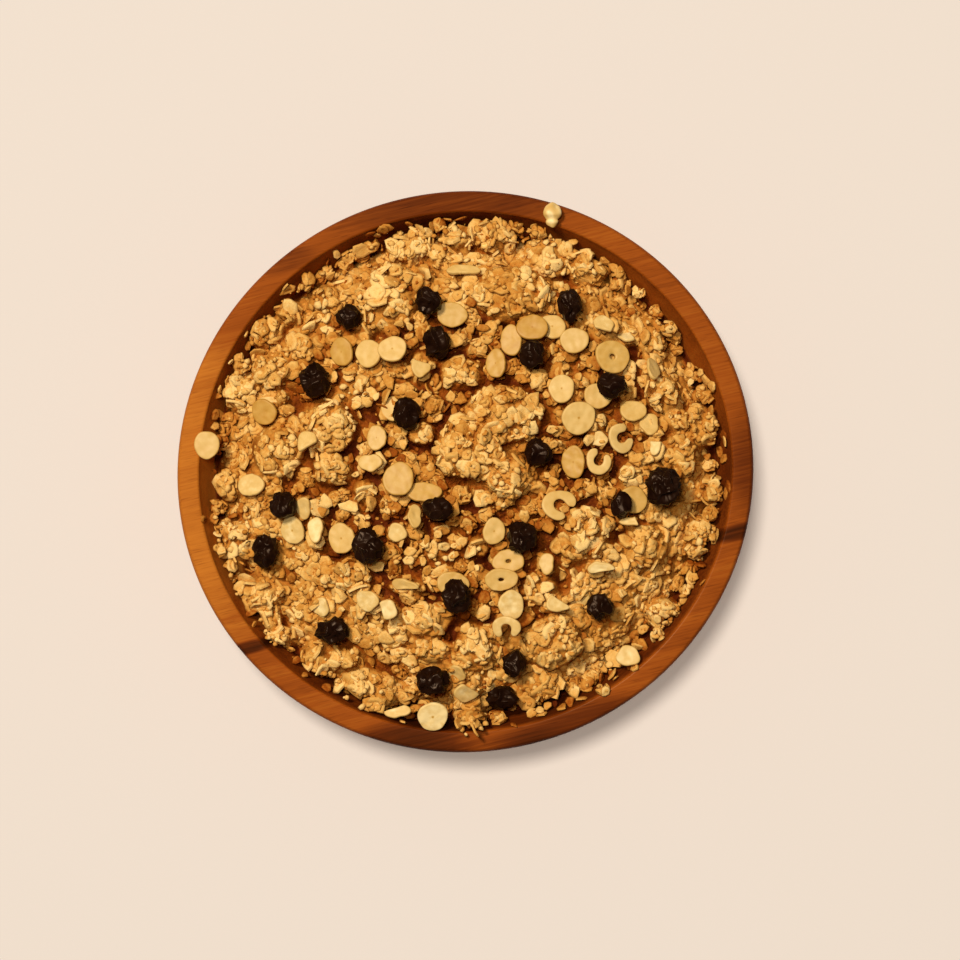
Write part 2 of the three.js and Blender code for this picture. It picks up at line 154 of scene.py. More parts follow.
def makePiece(name, points, faces, material, slot, nodes, tone=None, flat=()):
    # one closed mesh from an array of points and arrays of faces with 3 or 4 corners a row.
    # flat names the arrays whose faces are shaded flat, which keeps the edges round them crisp
    mesh = bpy.data.meshes.new(name)
    points = np.asarray(points, np.float32).reshape(-1, 3)
    mesh.vertices.add(len(points))
    mesh.vertices.foreach_set("co", points.ravel())
    corners = np.concatenate([face.ravel() for face in faces]).astype(np.int32)
    sizes = np.concatenate([np.full(len(face), face.shape[1]) for face in faces])
    mesh.loops.add(len(corners))
    mesh.loops.foreach_set("vertex_index", corners)
    mesh.polygons.add(len(sizes))
    mesh.polygons.foreach_set("loop_start", (np.cumsum(sizes) - sizes).astype(np.int32))
    smooth = np.concatenate([np.full(len(face), index not in flat) for index, face in enumerate(faces)])
    mesh.polygons.foreach_set("use_smooth", smooth)
    mesh.update(calc_edges=True)
    if tone is not None:
        layer = mesh.attributes.new("tone", "FLOAT", "POINT")
        layer.data.foreach_set("value", np.asarray(tone, np.float32).ravel())
    mesh.materials.append(material)
    piece = addObject(name, mesh)
    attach(piece, "root")
    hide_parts(*nodes)


def gridFaces(rows, columns):
    # the four-cornered faces of a grid of points whose columns join round into a ring
    row, column = np.meshgrid(np.arange(rows - 1), np.arange(columns), indexing="ij")
    after = (column + 1) % columns
    return np.stack([(row + 1) * columns + column, (row + 1) * columns + after,
                     row * columns + after, row * columns + column], -1).reshape(-1, 4)


def closedFaces(rows, around):
    # the faces of a closed form: a grid of rings, and a fan at each end to one of the two tips
    # that follow the grid's points
    here = np.arange(around)
    after = (here + 1) % around
    last = (rows - 1) * around
    tip = np.full(around, rows * around)
    return [gridFaces(rows, around), np.stack([here, after, tip], -1),
            np.stack([last + after, last + here, tip + 1], -1)]


def withTips(points):
    # a grid's points, then the middles of its first and last ring
    return np.concatenate([points.reshape(-1, 3), [points[0].mean(0)], [points[-1].mean(0)]])


def ballPoints(rows, around):
    # rings of a sphere of radius 1 round Z from the top down, then its two poles
    tilt = np.linspace(0, np.pi, rows + 2)[1:-1, None]
    turn = evenTurns(around)
    ball = np.stack([np.sin(tilt) * np.cos(turn), np.sin(tilt) * np.sin(turn), np.cos(tilt) + 0 * turn], -1)
    return np.concatenate([ball.reshape(-1, 3), [(0, 0, 1), (0, 0, -1)]])


# camera, light and floor

studio = dict(
    pixel=0.351 * mm,            # size of one photo pixel at the rim
    frameSide=960,
    bowlMiddle=(465.4, 471.7),   # where the photo has the bowl's middle, in pixels
    lens=150, sensor=36, rimHeight=60 * mm, farthest=20,
    floorColour="#F3E5D8", floorHalf=3.0, worldColour="#FFFCF7", worldLight=0.1,
    # lamps: colour, watts, place and width in metres, and what each lights. The key hangs nearly
    # overhead, a little to the upper left, the side lamp brings out the relief, and the floor
    # has two of its own, one straight above and one that strengthens the key's shadow
    lamps=dict(
        keyLight=("#FFFBF4", 31, (-0.23, 0.36, 3.0), 0.36, "all"),
        sideLight=("#FFF6E8", 92, (-0.9, 0.95, 2.7), 0.5, "object"),
        floorLight=("#FFFBF4", 26, (0.0, 0.0, 3.0), 0.3, "floor"),
        floorShade=("#FFFBF4", 24, (-0.23, 0.36, 3.0), 0.4, "floor"),
    ),
)


def lightStudio():
    # the camera straight above the bowl, the soft room, the floor and the lamps
    scene = bpy.context.scene
    scene.view_settings.view_transform = "Standard"
    scene.view_settings.look = "None"
    distance = studio["pixel"] * studio["frameSide"] * studio["lens"] / studio["sensor"]
    middle = [(studio["frameSide"] / 2 - place) * studio["pixel"] for place in studio["bowlMiddle"]]
    camera = addObject("camera", bpy.data.cameras.new("camera"))
    camera.data.lens = studio["lens"]
    camera.data.sensor_width = studio["sensor"]
    camera.data.clip_end = studio["farthest"]
    camera.location = (middle[0], -middle[1], studio["rimHeight"] + distance)
    scene.camera = camera

    world = bpy.data.worlds.new("softRoom")
    world.use_nodes = True
    backdrop = world.node_tree.nodes["Background"]
    backdrop.inputs["Color"].default_value = linear(studio["worldColour"])
    backdrop.inputs["Strength"].default_value = studio["worldLight"]
    scene.world = world

    # matt painted board: no gloss, one even pale colour
    material, _, shader, _ = newMaterial("mattBoard", 0.9, 1.5, 0.1)
    shader.inputs["Base Color"].default_value = linear(studio["floorColour"])
    half = studio["floorHalf"]
    mesh = bpy.data.meshes.new("floor")
    corners = [(-half, -half, 0), (half, -half, 0), (half, half, 0), (-half, half, 0)]
    mesh.from_pydata(corners, [], [(0, 1, 2, 3)])
    mesh.materials.append(material)
    floor = addObject("floor", mesh)

    for name, (colour, power, place, size, lights) in studio["lamps"].items():
        lamp = addObject(name, bpy.data.lights.new(name, "AREA"))
        lamp.data.shape = "DISK"
        lamp.data.size = size
        lamp.data.energy = power
        lamp.data.color = linear(colour)[:3]
        lamp.location = place
        lamp.rotation_euler = (-Vector(place)).to_track_quat("-Z", "Y").to_euler()
        if lights != "all":
            receivers = bpy.data.collections.new(name + "Receivers")
            receivers.objects.link(floor)
            lamp.light_linking.receiver_collection = receivers
            state = "INCLUDE" if lights == "floor" else "EXCLUDE"
            receivers.collection_objects[0].light_linking.link_state = state


lightStudio()
print("studio ready")


# the bowl

bowlShape = dict(
    rim=100 * mm, rimInner=92.3 * mm, height=60 * mm, rimMiddle=95.85 * mm,
    outerRound=(1.5 * mm, 3 * mm), innerRound=1 * mm,
    foot=46 * mm, footMiddle=23 * mm, footHeight=4 * mm, footRound=1 * mm, floor=9 * mm,
    outerPull=((72 * mm, 7 * mm), (91 * mm, 30 * mm)), innerPull=((82 * mm, 26 * mm), (60 * mm, 9 * mm)),
    ovalLong=1.0146, ovalShort=0.9854, grainTurn=np.radians(14), segments=288,
    # where painted shade darkens the inner wall: the side it faces, and how far below the rim it starts and
    # deepens
    shadeSide=np.radians(285), shadeFrom=0.8 * mm, shadeDepth=2.2 * mm,
)


def bezier(start, startPull, endPull, end, count):
    # the cubic curve (1-t)^3 a + 3(1-t)^2 t b + 3(1-t) t^2 c + t^3 d
    t = np.linspace(0, 1, count)[:, None]
    a, b, c, d = (np.array(p) for p in (start, startPull, endPull, end))
    return (1 - t) ** 3 * a + 3 * (1 - t) ** 2 * t * b + 3 * (1 - t) * t ** 2 * c + t ** 3 * d


def arc(centre, radii, start, end, count):
    # an elliptical arc round a centre, angles in degrees
    angle = np.radians(np.linspace(start, end, count))
    return np.stack([centre[0] + radii[0] * np.cos(angle), centre[1] + radii[1] * np.sin(angle)], -1)


def onRings(radius, angle, height):
    # points round Z at a radius and a height, made oval along the grain and turned with it
    turn = bowlShape["grainTurn"]
    along = radius * np.cos(angle) * bowlShape["ovalLong"]
    across = radius * np.sin(angle) * bowlShape["ovalShort"]
    return np.stack([along * np.cos(turn) - across * np.sin(turn),
                     along * np.sin(turn) + across * np.cos(turn), height + 0 * angle], -1)


def roundRadius(x, y):
    # distance from the middle before the bowl went oval
    turn = bowlShape["grainTurn"]
    along = (x * np.cos(turn) + y * np.sin(turn)) / bowlShape["ovalLong"]
    across = (y * np.cos(turn) - x * np.sin(turn)) / bowlShape["ovalShort"]
    return np.hypot(along, across)


def innerWall():
    # the inside as radius and height, from the rim down to the middle
    s = bowlShape
    return bezier((s["rimInner"], s["height"] - s["innerRound"]), *s["innerPull"], (0, s["floor"]), 60)


def makeBowl(material):
    # a profile from the foot's middle out, up, over the rim and down the inside, turned about Z
    s = bowlShape
    wide, tall = s["outerRound"]
    rounding = s["innerRound"]
    profile = np.concatenate([
        [(s["footMiddle"], 0)],
        arc((s["foot"] - s["footRound"], s["footRound"]), (s["footRound"],) * 2, -90, 0, 6),
        bezier((s["foot"], s["footHeight"]), *s["outerPull"], (s["rim"], s["height"] - tall), 44),
        arc((s["rim"] - wide, s["height"] - tall), (wide, tall), 8, 90, 10),
        [(s["rimMiddle"], s["height"])],
        arc((s["rimInner"] + rounding, s["height"] - rounding), (rounding, rounding), 90, 172, 8),
        innerWall()[:-1],
    ])
    rows = len(profile)
    radius, height = profile[:, :1], profile[:, 1:]
    angle = evenTurns(s["segments"])
    points = onRings(radius, angle, height).reshape(-1, 3)
    # the tone is 1 on the inner edge, which is rubbed smoother than the rest, and falls to -1 down the lower
    # side of the wall, as painted shade where the heap's shadow falls on it
    polish = (radius < s["rimInner"] + rounding) & (height > s["height"] - rounding)
    inside = np.arange(rows)[:, None] > rows - len(innerWall())
    # painted shadow: the lower wall is darkened on the side where the heap's shadow falls on it
    down = np.clip((s["height"] - s["shadeFrom"] - height) / s["shadeDepth"], 0, 1) * inside
    paintedWallShade = down * np.clip(0.2 + 0.9 * np.cos(angle + s["grainTurn"] - s["shadeSide"]), 0, 1)
    # this profile starts at the bottom, so its faces are turned over
    faces = [face[:, ::-1] for face in closedFaces(rows, s["segments"])]
    makePiece("turnedBowl", np.concatenate([points, [(0, 0, 0), (0, 0, s["floor"])]]), faces, material,
              "wood", [bowlNode], np.concatenate([(polish - paintedWallShade).ravel(), [0, 0]]))


# Acacia, turned, sanded and oiled: satin, orange-brown, fine straight fibres along X turned with the oval,
# lighter and darker where the patches say. The oil gives a soft sheen over the fibres.
woodLook = dict(
    # the broad figure, the fine lines and the pores: shrunk along the grain by, spacing across it,
    # detail, roughness and distortion of the noise
    streaks=((0.1, 8 * mm, 4, 0.6, 0.5), (0.025, 0.8 * mm, 3, 0.6, 0), (0.0625, 0.4 * mm, 1, 0.5, 0)),
    # wallShade: how dark the painted shade on the lower wall is
    evenTone=0.6, figureStrength=0.24, lineStrength=0.22, ragged=0.5, wallShade=0.34,
    poreDepth=0.3, poreColour="#6E3A1C", roughness=(0.68, 0.56), edgeRoughness=0.28,
    steps=((0, "#2E0F02"), (0.3, "#5C2506"), (0.6, "#8C430F"), (1, "#B0661F")),
    # lighter and darker patches of the rim and wall: middle x, y, half sizes along and across the grain in
    # mm, change
    patches=((-108, -8, 62, 84, 0.34), (-24, -98, 34, 14, -0.44), (8, -101, 36, 12, -0.2),
             (44, -92, 42, 16, -0.36), (6, 108, 84, 36, -0.3), (106, 2, 24, 30, -0.25),
             (97, -21, 16, 4, -0.5), (-77, -62, 15, 3.4, -0.5), (-64, 74, 18, 6, -0.2)),
    patchMiddle=0.05, patchHalf=0.09,   # up and down, in metres
)


def woodMaterial():
    # three noises drawn out along the grain and the patches add up to the tone that picks the colour
    look = woodLook
    material, tree, shader, place = newMaterial("oiledAcacia", 0.6, 1.5, 0.07, "#FFD9A8")
    grain = (0, 0, bowlShape["grainTurn"])
    turned = addNode(tree, "Mapping", {"vector_type": "TEXTURE", "Rotation": grain, "Vector": place})
    streaks = []
    for shrink, size, detail, roughness, distortion in look["streaks"]:
        squeezed = addNode(tree, "Mapping", {"Scale": (shrink, 1, 1), "Vector": turned.outputs[0]})
        noise = addNode(tree, "TexNoise", {"Scale": 1 / size, "Detail": detail, "Roughness": roughness,
                                           "Distortion": distortion, "Vector": squeezed.outputs[0]})
        streaks.append(noise.outputs["Fac"])
    figure, lines, pores = streaks
    # each of these is an input times a number plus another: the figure on the even tone, the painted wall
    # shade from the tone attribute below nought, the ragged edges of the patches, and the fine lines
    # the tone attribute: above nought the smoother inner edge, below nought painted shade on the lower wall
    polishAndWallShade = addNode(tree, "Attribute", {"attribute_name": "tone"}).outputs["Fac"]
    below = addNode(tree, "Math", {"operation": "MINIMUM", 0: polishAndWallShade, 1: 0.0}).outputs[0]
    strength, fine, ragged = look["figureStrength"], look["lineStrength"], look["ragged"]
    sums = []
    for source, factor, added in (
            (figure, strength * 2, look["evenTone"] - strength), (below, look["wallShade"], 0.0),
            (figure, ragged, -ragged / 2), (lines, fine * 2, -fine)):
        term = addNode(tree, "Math", {"operation": "MULTIPLY_ADD", 0: source, 1: factor, 2: added})
        sums.append(term.outputs[0])
    tone, wallShade, edges, fineLines = sums
    changes = [wallShade]
    # each patch is a soft ellipse with a ragged edge that moves the tone
    for x, y, halfX, halfY, change in look["patches"]:
        spot = addNode(tree, "Mapping", {
            "vector_type": "TEXTURE", "Location": (x * mm, y * mm, look["patchMiddle"]), "Rotation": grain,
            "Scale": (halfX * mm, halfY * mm, look["patchHalf"]), "Vector": place})
        ball = addNode(tree, "TexGradient", {"gradient_type": "SPHERICAL", "Vector": spot.outputs[0]})
        uneven = addNode(tree, "Math", {"operation": "ADD", 0: ball.outputs["Fac"], 1: edges})
        soft = addNode(tree, "MapRange", {"interpolation_type": "SMOOTHSTEP", "From Min": 0.05,
                                          "From Max": 0.6, "To Max": change, "Value": uneven.outputs[0]})
        changes.append(soft.outputs[0])
    for change in changes + [fineLines]:
        tone = addNode(tree, "Math", {"operation": "ADD", "use_clamp": change is fineLines, 0: tone,
                                      1: change}).outputs[0]
    ramp = addNode(tree, "ValToRGB", {"Fac": tone})
    colourSteps(ramp.color_ramp, look["steps"])
    speck = addNode(tree, "MapRange", {"From Min": 0.3, "From Max": 0.42, "To Min": look["poreDepth"],
                                       "To Max": 0.0, "Value": pores})
    dark = addNode(tree, "Mix", {"data_type": "RGBA", "blend_type": "MULTIPLY", 0: speck.outputs[0],
                                 6: ramp.outputs["Color"], 7: linear(look["poreColour"])})
    tree.links.new(dark.outputs[2], shader.inputs["Base Color"])
    low, high = look["roughness"]
    rough = addNode(tree, "MapRange", {"To Min": low, "To Max": high, "Value": lines})
    smoother = addNode(tree, "Mix", {0: polishAndWallShade, 2: rough.outputs[0], 3: look["edgeRoughness"]})
    tree.links.new(smoother.outputs[0], shader.inputs["Roughness"])
    bump = addNode(tree, "Bump", {"Strength": 0.25, "Distance": 0.12 * mm, "Height": lines})
    tree.links.new(bump.outputs[0], shader.inputs["Normal"])
    return material


makeBowl(woodMaterial())
print("bowl turned")


# a plan of the heap in small square cells

cell = 0.5 * mm
planSide = 416
planHalf = cell * planSide / 2


def cellOf(points):
    # the plan's row and column under each point
    steps = (points[..., :2] + planHalf) / cell
    return tuple(np.clip(steps[..., k].astype(int), 0, planSide - 1) for k in (1, 0))


def spread(points, triangles, density, draw):
    # random points spread evenly over triangles, with the triangle that each lies on
    a, b, c = (points[triangles[:, k]] for k in range(3))
    area = np.linalg.norm(np.cross(b - a, c - a), axis=1) / 2
    which = np.repeat(np.arange(len(triangles)), draw.poisson(area * density))
    u, v = draw.random((2, len(which), 1))
    u, v = np.where(u + v > 1, 1 - u, u), np.where(u + v > 1, 1 - v, v)
    return a[which] + u * (b - a)[which] + v * (c - a)[which], which


def around9(field):
    # each cell and its eight neighbours, as nine fields
    padded = np.pad(field, 1, mode="edge")
    return [padded[r:r + planSide, c:c + planSide] for r in range(3) for c in range(3)]


def neighbours(field, take, rounds):
    # each cell takes the least or greatest of itself and its eight neighbours, a number of times
    for _ in range(rounds):
        field = take.reduce(around9(field))
    return field


def blurred(field, rounds):
    # each cell becomes the mean of itself and its eight neighbours, a number of times
    for _ in range(rounds):
        field = sum(around9(field)) / 9
    return field


mapDraw = np.random.default_rng(11)
mapDensity = 30 / mm ** 2


def levelOf(nodes, take, empty):
    # the highest or lowest point of some nodes in each cell, and a value where there is none
    field = np.full((planSide, planSide), empty)
    for name in nodes:
        places, _ = spread(*meshOf(name), mapDensity, mapDraw)
        take.at(field, cellOf(places), places[:, 2])
    return field


wall = innerWall()


def wallUnder(radius):
    # the height of the wall at a radius
    return np.interp(radius, wall[::-1, 0], wall[::-1, 1])


planRow, planColumn = np.meshgrid(*(((np.arange(planSide) + 0.5) * cell - planHalf),) * 2, indexing="ij")
planPlace = np.stack([planColumn, planRow, 0 * planRow], -1)
planRadius = roundRadius(planColumn, planRow)
overWall = wallUnder(planRadius)
onRim = np.where(planRadius > bowlShape["rimInner"], bowlShape["height"], overWall)
bowlTop = np.where(planRadius > bowlShape["rim"], 0, onRim)
heapTop = neighbours(levelOf([granolaNode], np.maximum, -1.0), np.maximum, 1)
heapInside = heapTop > 0
toppingLow = neighbours(levelOf(toppingNodes, np.minimum, 1.0), np.minimum, 1)
toppingTop = levelOf(toppingNodes, np.maximum, -1.0)
# the heap without what stands out of it: its lowest level nearby, smoothed
filled = np.where(heapInside, heapTop, 1)
ground = np.minimum(blurred(neighbours(filled, np.minimum, 12), 14), filled)
relief = np.where(heapInside, heapTop - ground, 0)
slopeY, slopeX = np.gradient(blurred(ground, 4), cell)
print("heap mapped, stands out by up to", round(float(relief.max()) / mm, 1), "mm")

# How far out the oats lie on the wall, and the bays where more of the wall shows: the middle
# angle and half width of each in degrees, and its depth
heapReach = dict(most=92.6 * mm, ragged=1.4 * mm, raggedSize=12 * mm, overWall=3.5 * mm,
                 banked=((78 * mm, 91 * mm), (48 * mm, 55.5 * mm)),
                 hang=2.6 * mm, wallHang=3 * mm, wallFrom=80 * mm, wallWidth=8 * mm,
                 bays=((36, 24, 4.6 * mm), (345, 8, 2.6 * mm), (205, 9, 2 * mm), (132, 14, 2.4 * mm),
                       (92, 6, 2.2 * mm), (284, 7, 2.6 * mm), (178, 8, 2.2 * mm), (300, 42, -1.6 * mm)))
planAngle = np.degrees(np.arctan2(planRow, planColumn)) % 360
edgeOfOats = heapReach["most"] + heapReach["ragged"] * ripple(planPlace, heapReach["raggedSize"], 12)
for middleAngle, halfWidth, bayDepth in heapReach["bays"]:
    away = (planAngle - middleAngle + 180) % 360 - 180
    edgeOfOats = edgeOfOats - bayDepth * np.exp(-(away / halfWidth) ** 2)
# the level that the oats fill up to: the heap's own, and a little over the wall beyond it
beyond = np.maximum(neighbours(heapTop, np.maximum, 6), overWall + heapReach["overWall"])
banked = np.interp(planRadius, *heapReach["banked"])
fillLevel = np.maximum(np.where(heapInside, heapTop, beyond), banked)
# how far above the surface a thing may come to rest: further where it leans against the wall
atWall = np.clip((planRadius - heapReach["wallFrom"]) / heapReach["wallWidth"], 0, 1)
mayHang = heapReach["hang"] + heapReach["wallHang"] * atWall

# air that stays free above the granola: x and y from and to, and the height where it begins, in mm
freeSpaces = ((-86, 5.4, -81, 21, 52), (81.5, 0.2, 90.2, 8.8, 52.6), (69.7, -45.5, 78.3, -29.9, 55.6),
              (72.4, 32.8, 79, 44.4, 53.6))
ceiling = np.ones((planSide, planSide))
for left, near, right, far, low in freeSpaces:
    acrossX = (planColumn > left * mm) & (planColumn < right * mm)
    ceiling[acrossX & (planRow > near * mm) & (planRow < far * mm)] = low * mm
clearance = dict(belowTopping=0.15 * mm, aboveTopping=0.3 * mm, intoBowl=0.3 * mm, below=0.1 * mm)
clearBelow = np.minimum(toppingLow, ceiling)

# The clusters are cracked into chunks. Each square of a coarse grid has the middle of one chunk,
# somewhere in it, and a crack runs where the two nearest middles are as far off as each other
crackLook = dict(chunk=8.5 * mm, wide=1.7 * mm, deep=2.8 * mm, wavy=0.9 * mm, wavySize=6 * mm, tooDeep=0.6)


def crackedDepth():
    # how far down the crack has opened in each cell of the plan
    look = crackLook
    size = look["chunk"]
    squares = int(2 * planHalf / size) + 5
    grid = np.stack(np.meshgrid(np.arange(squares), np.arange(squares), indexing="ij"), -1)
    middles = (grid - 2 + np.random.default_rng(17).random(grid.shape)) * size
    row = planRow + planHalf + look["wavy"] * ripple(planPlace, look["wavySize"], 18)
    column = planColumn + planHalf + look["wavy"] * ripple(planPlace, look["wavySize"], 19)
    square = [(field / size).astype(int) + 2 for field in (row, column)]
    near = [middles[square[0] + down, square[1] + right] for down in (-1, 0, 1) for right in (-1, 0, 1)]
    far = np.sort([np.hypot(row - middle[..., 0], column - middle[..., 1]) for middle in near], axis=0)
    return look["deep"] * np.clip(1 - (far[1] - far[0]) / look["wide"], 0, 1)


cracks = crackedDepth()


# things made many at a time: one row of each array is one thing

def turnTo(normals, yaw):
    # for each thing the matrix that sets its own Z along a normal, turned by yaw round it
    helper = np.where(np.abs(normals[:, 2:]) < 0.9, (0.0, 0.0, 1.0), (1.0, 0.0, 0.0))
    first = unit(np.cross(helper, normals))
    second = np.cross(normals, first)
    c, s = np.cos(yaw)[:, None], np.sin(yaw)[:, None]
    return np.stack([first * c + second * s, second * c - first * s, normals], -1)


def turnedAnyWay(normals, lean, draw):
    # the same for normals turned in a random direction by about an angle each, with a random yaw
    shaken = normals + np.tan(lean + np.zeros(len(normals)))[:, None] * draw.normal(size=normals.shape)
    return turnTo(unit(shaken), draw.uniform(0, fullTurn, len(normals)))


flakeLook = dict(corners=8, jitter=0.24, lobes=0.1, uneven=0.1, bend=(60, 90, 75), crease=(0.1, 0.75),
                 creaseReach=0.34, creaseWave=0.08, shoulder=0.45, brokenShare=0.3, brokenAt=(0.15, 0.7),
                 rings=((0.6, 0.5), (0.97, 0.25), (1.0, -0.3)), underside=-0.5)
# the triangles on both sides of the crease: its corners from left to right are 0 to 2, and those
# of the first ring round it 3 to 10
creaseFaces = np.array([(2, 3, 4), (1, 2, 4), (1, 4, 5), (1, 5, 6), (0, 1, 6), (0, 6, 7), (2, 10, 3),
                        (1, 10, 2), (1, 9, 10), (1, 8, 9), (0, 8, 1), (0, 7, 8)])
flakeEdges = (2, 3)   # the faces shaded flat: the edge and the underside


def flakeMeshes(length, kind, draw):
    # Rolled oats: a crease of three points along the middle, then uneven ovals at shares of the
    # outline that rise to a shoulder and thin to the edge, drawn in underneath. Each is bent by
    # a x^2 + b y^2 + c x y. Returns points [flake, corner], the faces of one flake, and the width
    # and thickness of each.
    look = flakeLook
    count, corners = len(length), look["corners"]
    width = length * draw.uniform(*kind["slim"], count)
    thickness = draw.uniform(*kind["thickness"], count)
    size = lambda low, high: draw.uniform(low, high, (count, 1))
    jitter = draw.uniform(-look["jitter"], look["jitter"], (count, corners))
    angle = (np.arange(corners) + jitter) / corners * 2 * np.pi
    reach = 1 + look["lobes"] * np.cos(2 * angle + size(0, 6))
    reach = reach + look["lobes"] * np.cos(3 * angle + size(0, 6))
    reach = reach + draw.uniform(-look["uneven"], look["uneven"], (count, corners))
    cut = np.where(size(0, 1) < look["brokenShare"], size(*look["brokenAt"]), 2)
    valley = look["shoulder"] - size(*look["crease"])
    line = np.array([-1, 0, 1]) * look["creaseReach"] + 0 * angle[:, :3]
    rows = [np.stack([line, look["creaseWave"] * np.sin(9 * line + angle[:, :1]), valley + 0 * line], -1)]
    for share, level in look["rings"]:
        x = np.minimum(np.cos(angle) * reach * share, cut * (0.8 + 0.2 * share))
        rows.append(np.stack([x, np.sin(angle) * reach * share, level + 0 * x], -1))
    rows.append(np.zeros((count, 1, 3)) + (0, 0, look["underside"]))
    points = np.concatenate(rows, 1) * np.stack([length / 2, width / 2, thickness], -1)[:, None]
    x, y = points[..., 0], points[..., 1]
    alongBend, acrossBend, twist = (size(-most, most) for most in look["bend"])
    points[..., 2] += alongBend * x ** 2 + acrossBend * y ** 2 + twist * x * y
    ring = [3 + k * corners + np.arange(corners) for k in range(3)]
    after = [np.roll(r, -1) for r in ring]
    bands = [np.stack([ring[k], ring[k + 1], after[k + 1], after[k]], -1) for k in (0, 1)]
    under = np.stack([after[2], ring[2], np.full(corners, points.shape[1] - 1)], -1)
    return points, [creaseFaces, *bands, under], width, thickness


def crumbMeshes(sizes, draw):
    # crumbs: twenty-sided lumps with each corner pushed in or out
    golden = (1 + 5 ** 0.5) / 2
    base = np.array([(one, other * golden, 0) for one in (1, -1) for other in (1, -1)])
    corners = np.concatenate([base, np.roll(base, 1, 1), np.roll(base, 2, 1)]) / np.hypot(1, golden)
    near = np.linalg.norm(corners[:, None] - corners[None], axis=-1) < 1.1
    triples = [(i, j, k) for i in range(12) for j in range(i + 1, 12) for k in range(j + 1, 12)
               if near[i, j] and near[j, k] and near[i, k]]
    faces = np.array([t if np.linalg.det(corners[list(t)]) > 0 else t[::-1] for t in triples])
    reach = draw.uniform(0.7, 1.25, (len(sizes), 12, 1))
    stretch = draw.uniform(0.65, 1.3, (len(sizes), 1, 3))
    return corners * reach * stretch * (sizes / 2)[:, None, None], [faces]


def placed(points, frames, places):
    # each thing turned by its matrix and moved to its place
    return np.einsum("nij,nkj->nki", frames, points) + places[:, None]


def joined(points, faces):
    # the points of many things in one list, and the faces with their numbers moved along
    count, corners = points.shape[:2]
    offset = (np.arange(count) * corners)[:, None, None]
    return points.reshape(-1, 3), [(face[None] + offset).reshape(-1, face.shape[1]) for face in faces]


def crossesNothing(points):
    # true for each thing that has no point in a topping, in the bowl, or in the free air
    at = cellOf(points)
    height = points[..., 2]
    inTopping = height > toppingLow[at] - clearance["belowTopping"]
    inTopping &= height < toppingTop[at] + clearance["aboveTopping"]
    return ~(inTopping | (height < bowlTop[at] - clearance["intoBowl"]) | (height > ceiling[at])).any(1)


def settled(things):
    # keeps the things that cross nothing, and raises the surface to them
    clear = crossesNothing(things)
    np.maximum.at(surface, cellOf(things[clear]), things[clear][..., 2])
    return things[clear], clear


def overBowl(count, inset, draw, byWall=0.2):
    # random places spread evenly over the inside of the bowl, a share of them only along its wall
    least = np.where(np.arange(count) < byWall * count, 0.72, 0)
    radius = (bowlShape["rimInner"] - inset) * np.sqrt(least + (1 - least) * draw.random(count))
    return onRings(radius, draw.uniform(0, fullTurn, count), 0.0)


def slopeNormals(places):
    # the heap's own slope under each place
    at = cellOf(places)
    return unit(np.stack([-slopeX[at], -slopeY[at], np.ones(len(places))], -1))


oatPieces = []


def addOats(name, things, faces, tone, flat=()):
    # keeps many things for one piece, with their tones, until everything is laid
    oatPieces.append((name, things, faces, tone, flat))


# the granola's own core: coloured dark under the loose flakes as painted shade in the gaps between them, pale
# and crusty inside the clusters

coreShape = dict(underFlakes=5.2 * mm, inClusters=1.3 * mm, clusterRelief=3 * mm, ragged=0.9 * mm,
                 raggedSize=3.2 * mm, fine=0.5 * mm, fineSize=1.7 * mm, bottomGap=0.5 * mm, thinnest=0.3 * mm,
                 rings=170, underRings=24, segments=440, edge=87.6 * mm, tone=(0.08, 0.7))


def makeCore():
    # a dome on a polar grid: the heap's mapped height let down by a depth that is small in
    # clusters and large between them, roughened, with a plain underside along the wall
    s = coreShape
    share = np.clip(relief / s["clusterRelief"], 0, 1)
    depth = s["underFlakes"] * (1 - share) + s["inClusters"] * share
    height = blurred(np.where(heapInside, heapTop, ground) - depth - cracks * share, 1)
    radius = np.linspace(0, s["edge"], s["rings"])[1:, None]
    angle = evenTurns(s["segments"])
    top = onRings(radius, angle, radius)
    at = cellOf(top)
    top[..., 2] = height[at]
    top[..., 2] -= s["ragged"] * (np.abs(ripple(top, s["raggedSize"], 5)) - 0.5)
    top[..., 2] -= s["fine"] * (np.abs(ripple(top, s["fineSize"], 7)) - 0.5)
    # painted shade: the core's tone is low where it lies under the loose flakes, high in the clusters
    low, high = s["tone"]
    tone = (low + (high - low) * blurred(share, 2))[at] + 0.1 * ripple(top, 9 * mm, 6)
    # the rim of the dome meets the underside just over the wall
    top[..., 2] = np.maximum(top[..., 2], wallUnder(radius) + s["bottomGap"] + s["thinnest"])
    inward = np.linspace(s["edge"], 0, s["underRings"])[:-1, None]
    under = onRings(inward, angle, wallUnder(inward) + s["bottomGap"])
    middle = planSide // 2
    tips = [(0, 0, height[middle, middle]), (0, 0, bowlShape["floor"] + s["bottomGap"])]
    points = np.concatenate([top.reshape(-1, 3), under.reshape(-1, 3), tips])
    tones = np.concatenate([tone.ravel(), np.full(len(points) - tone.size, low)])
    addOats("granolaCore", points[None], closedFaces(len(radius) + len(inward), s["segments"]), tones[None])
    return height


# Toasted rolled oats baked with syrup: dry and matt with a faint sugar glaze. The tone attribute says how
# brown each piece baked, with painted shade added deeper in the heap, in its hollows and on the core under
# the loose flakes; fine mottling is the flour and bran on its face.
oatLook = dict(steps=((0, "#561E04"), (0.22, "#8E470E"), (0.5, "#BC7D30"), (0.75, "#D29E50"), (1, "#E6BE76")),
               mottle=1.1 * mm, mottleDetail=(4, 0.65), mottleStrength=0.26, lumps=0.45 * mm, grit=0.4 * mm,
               gritDepth=0.12 * mm)


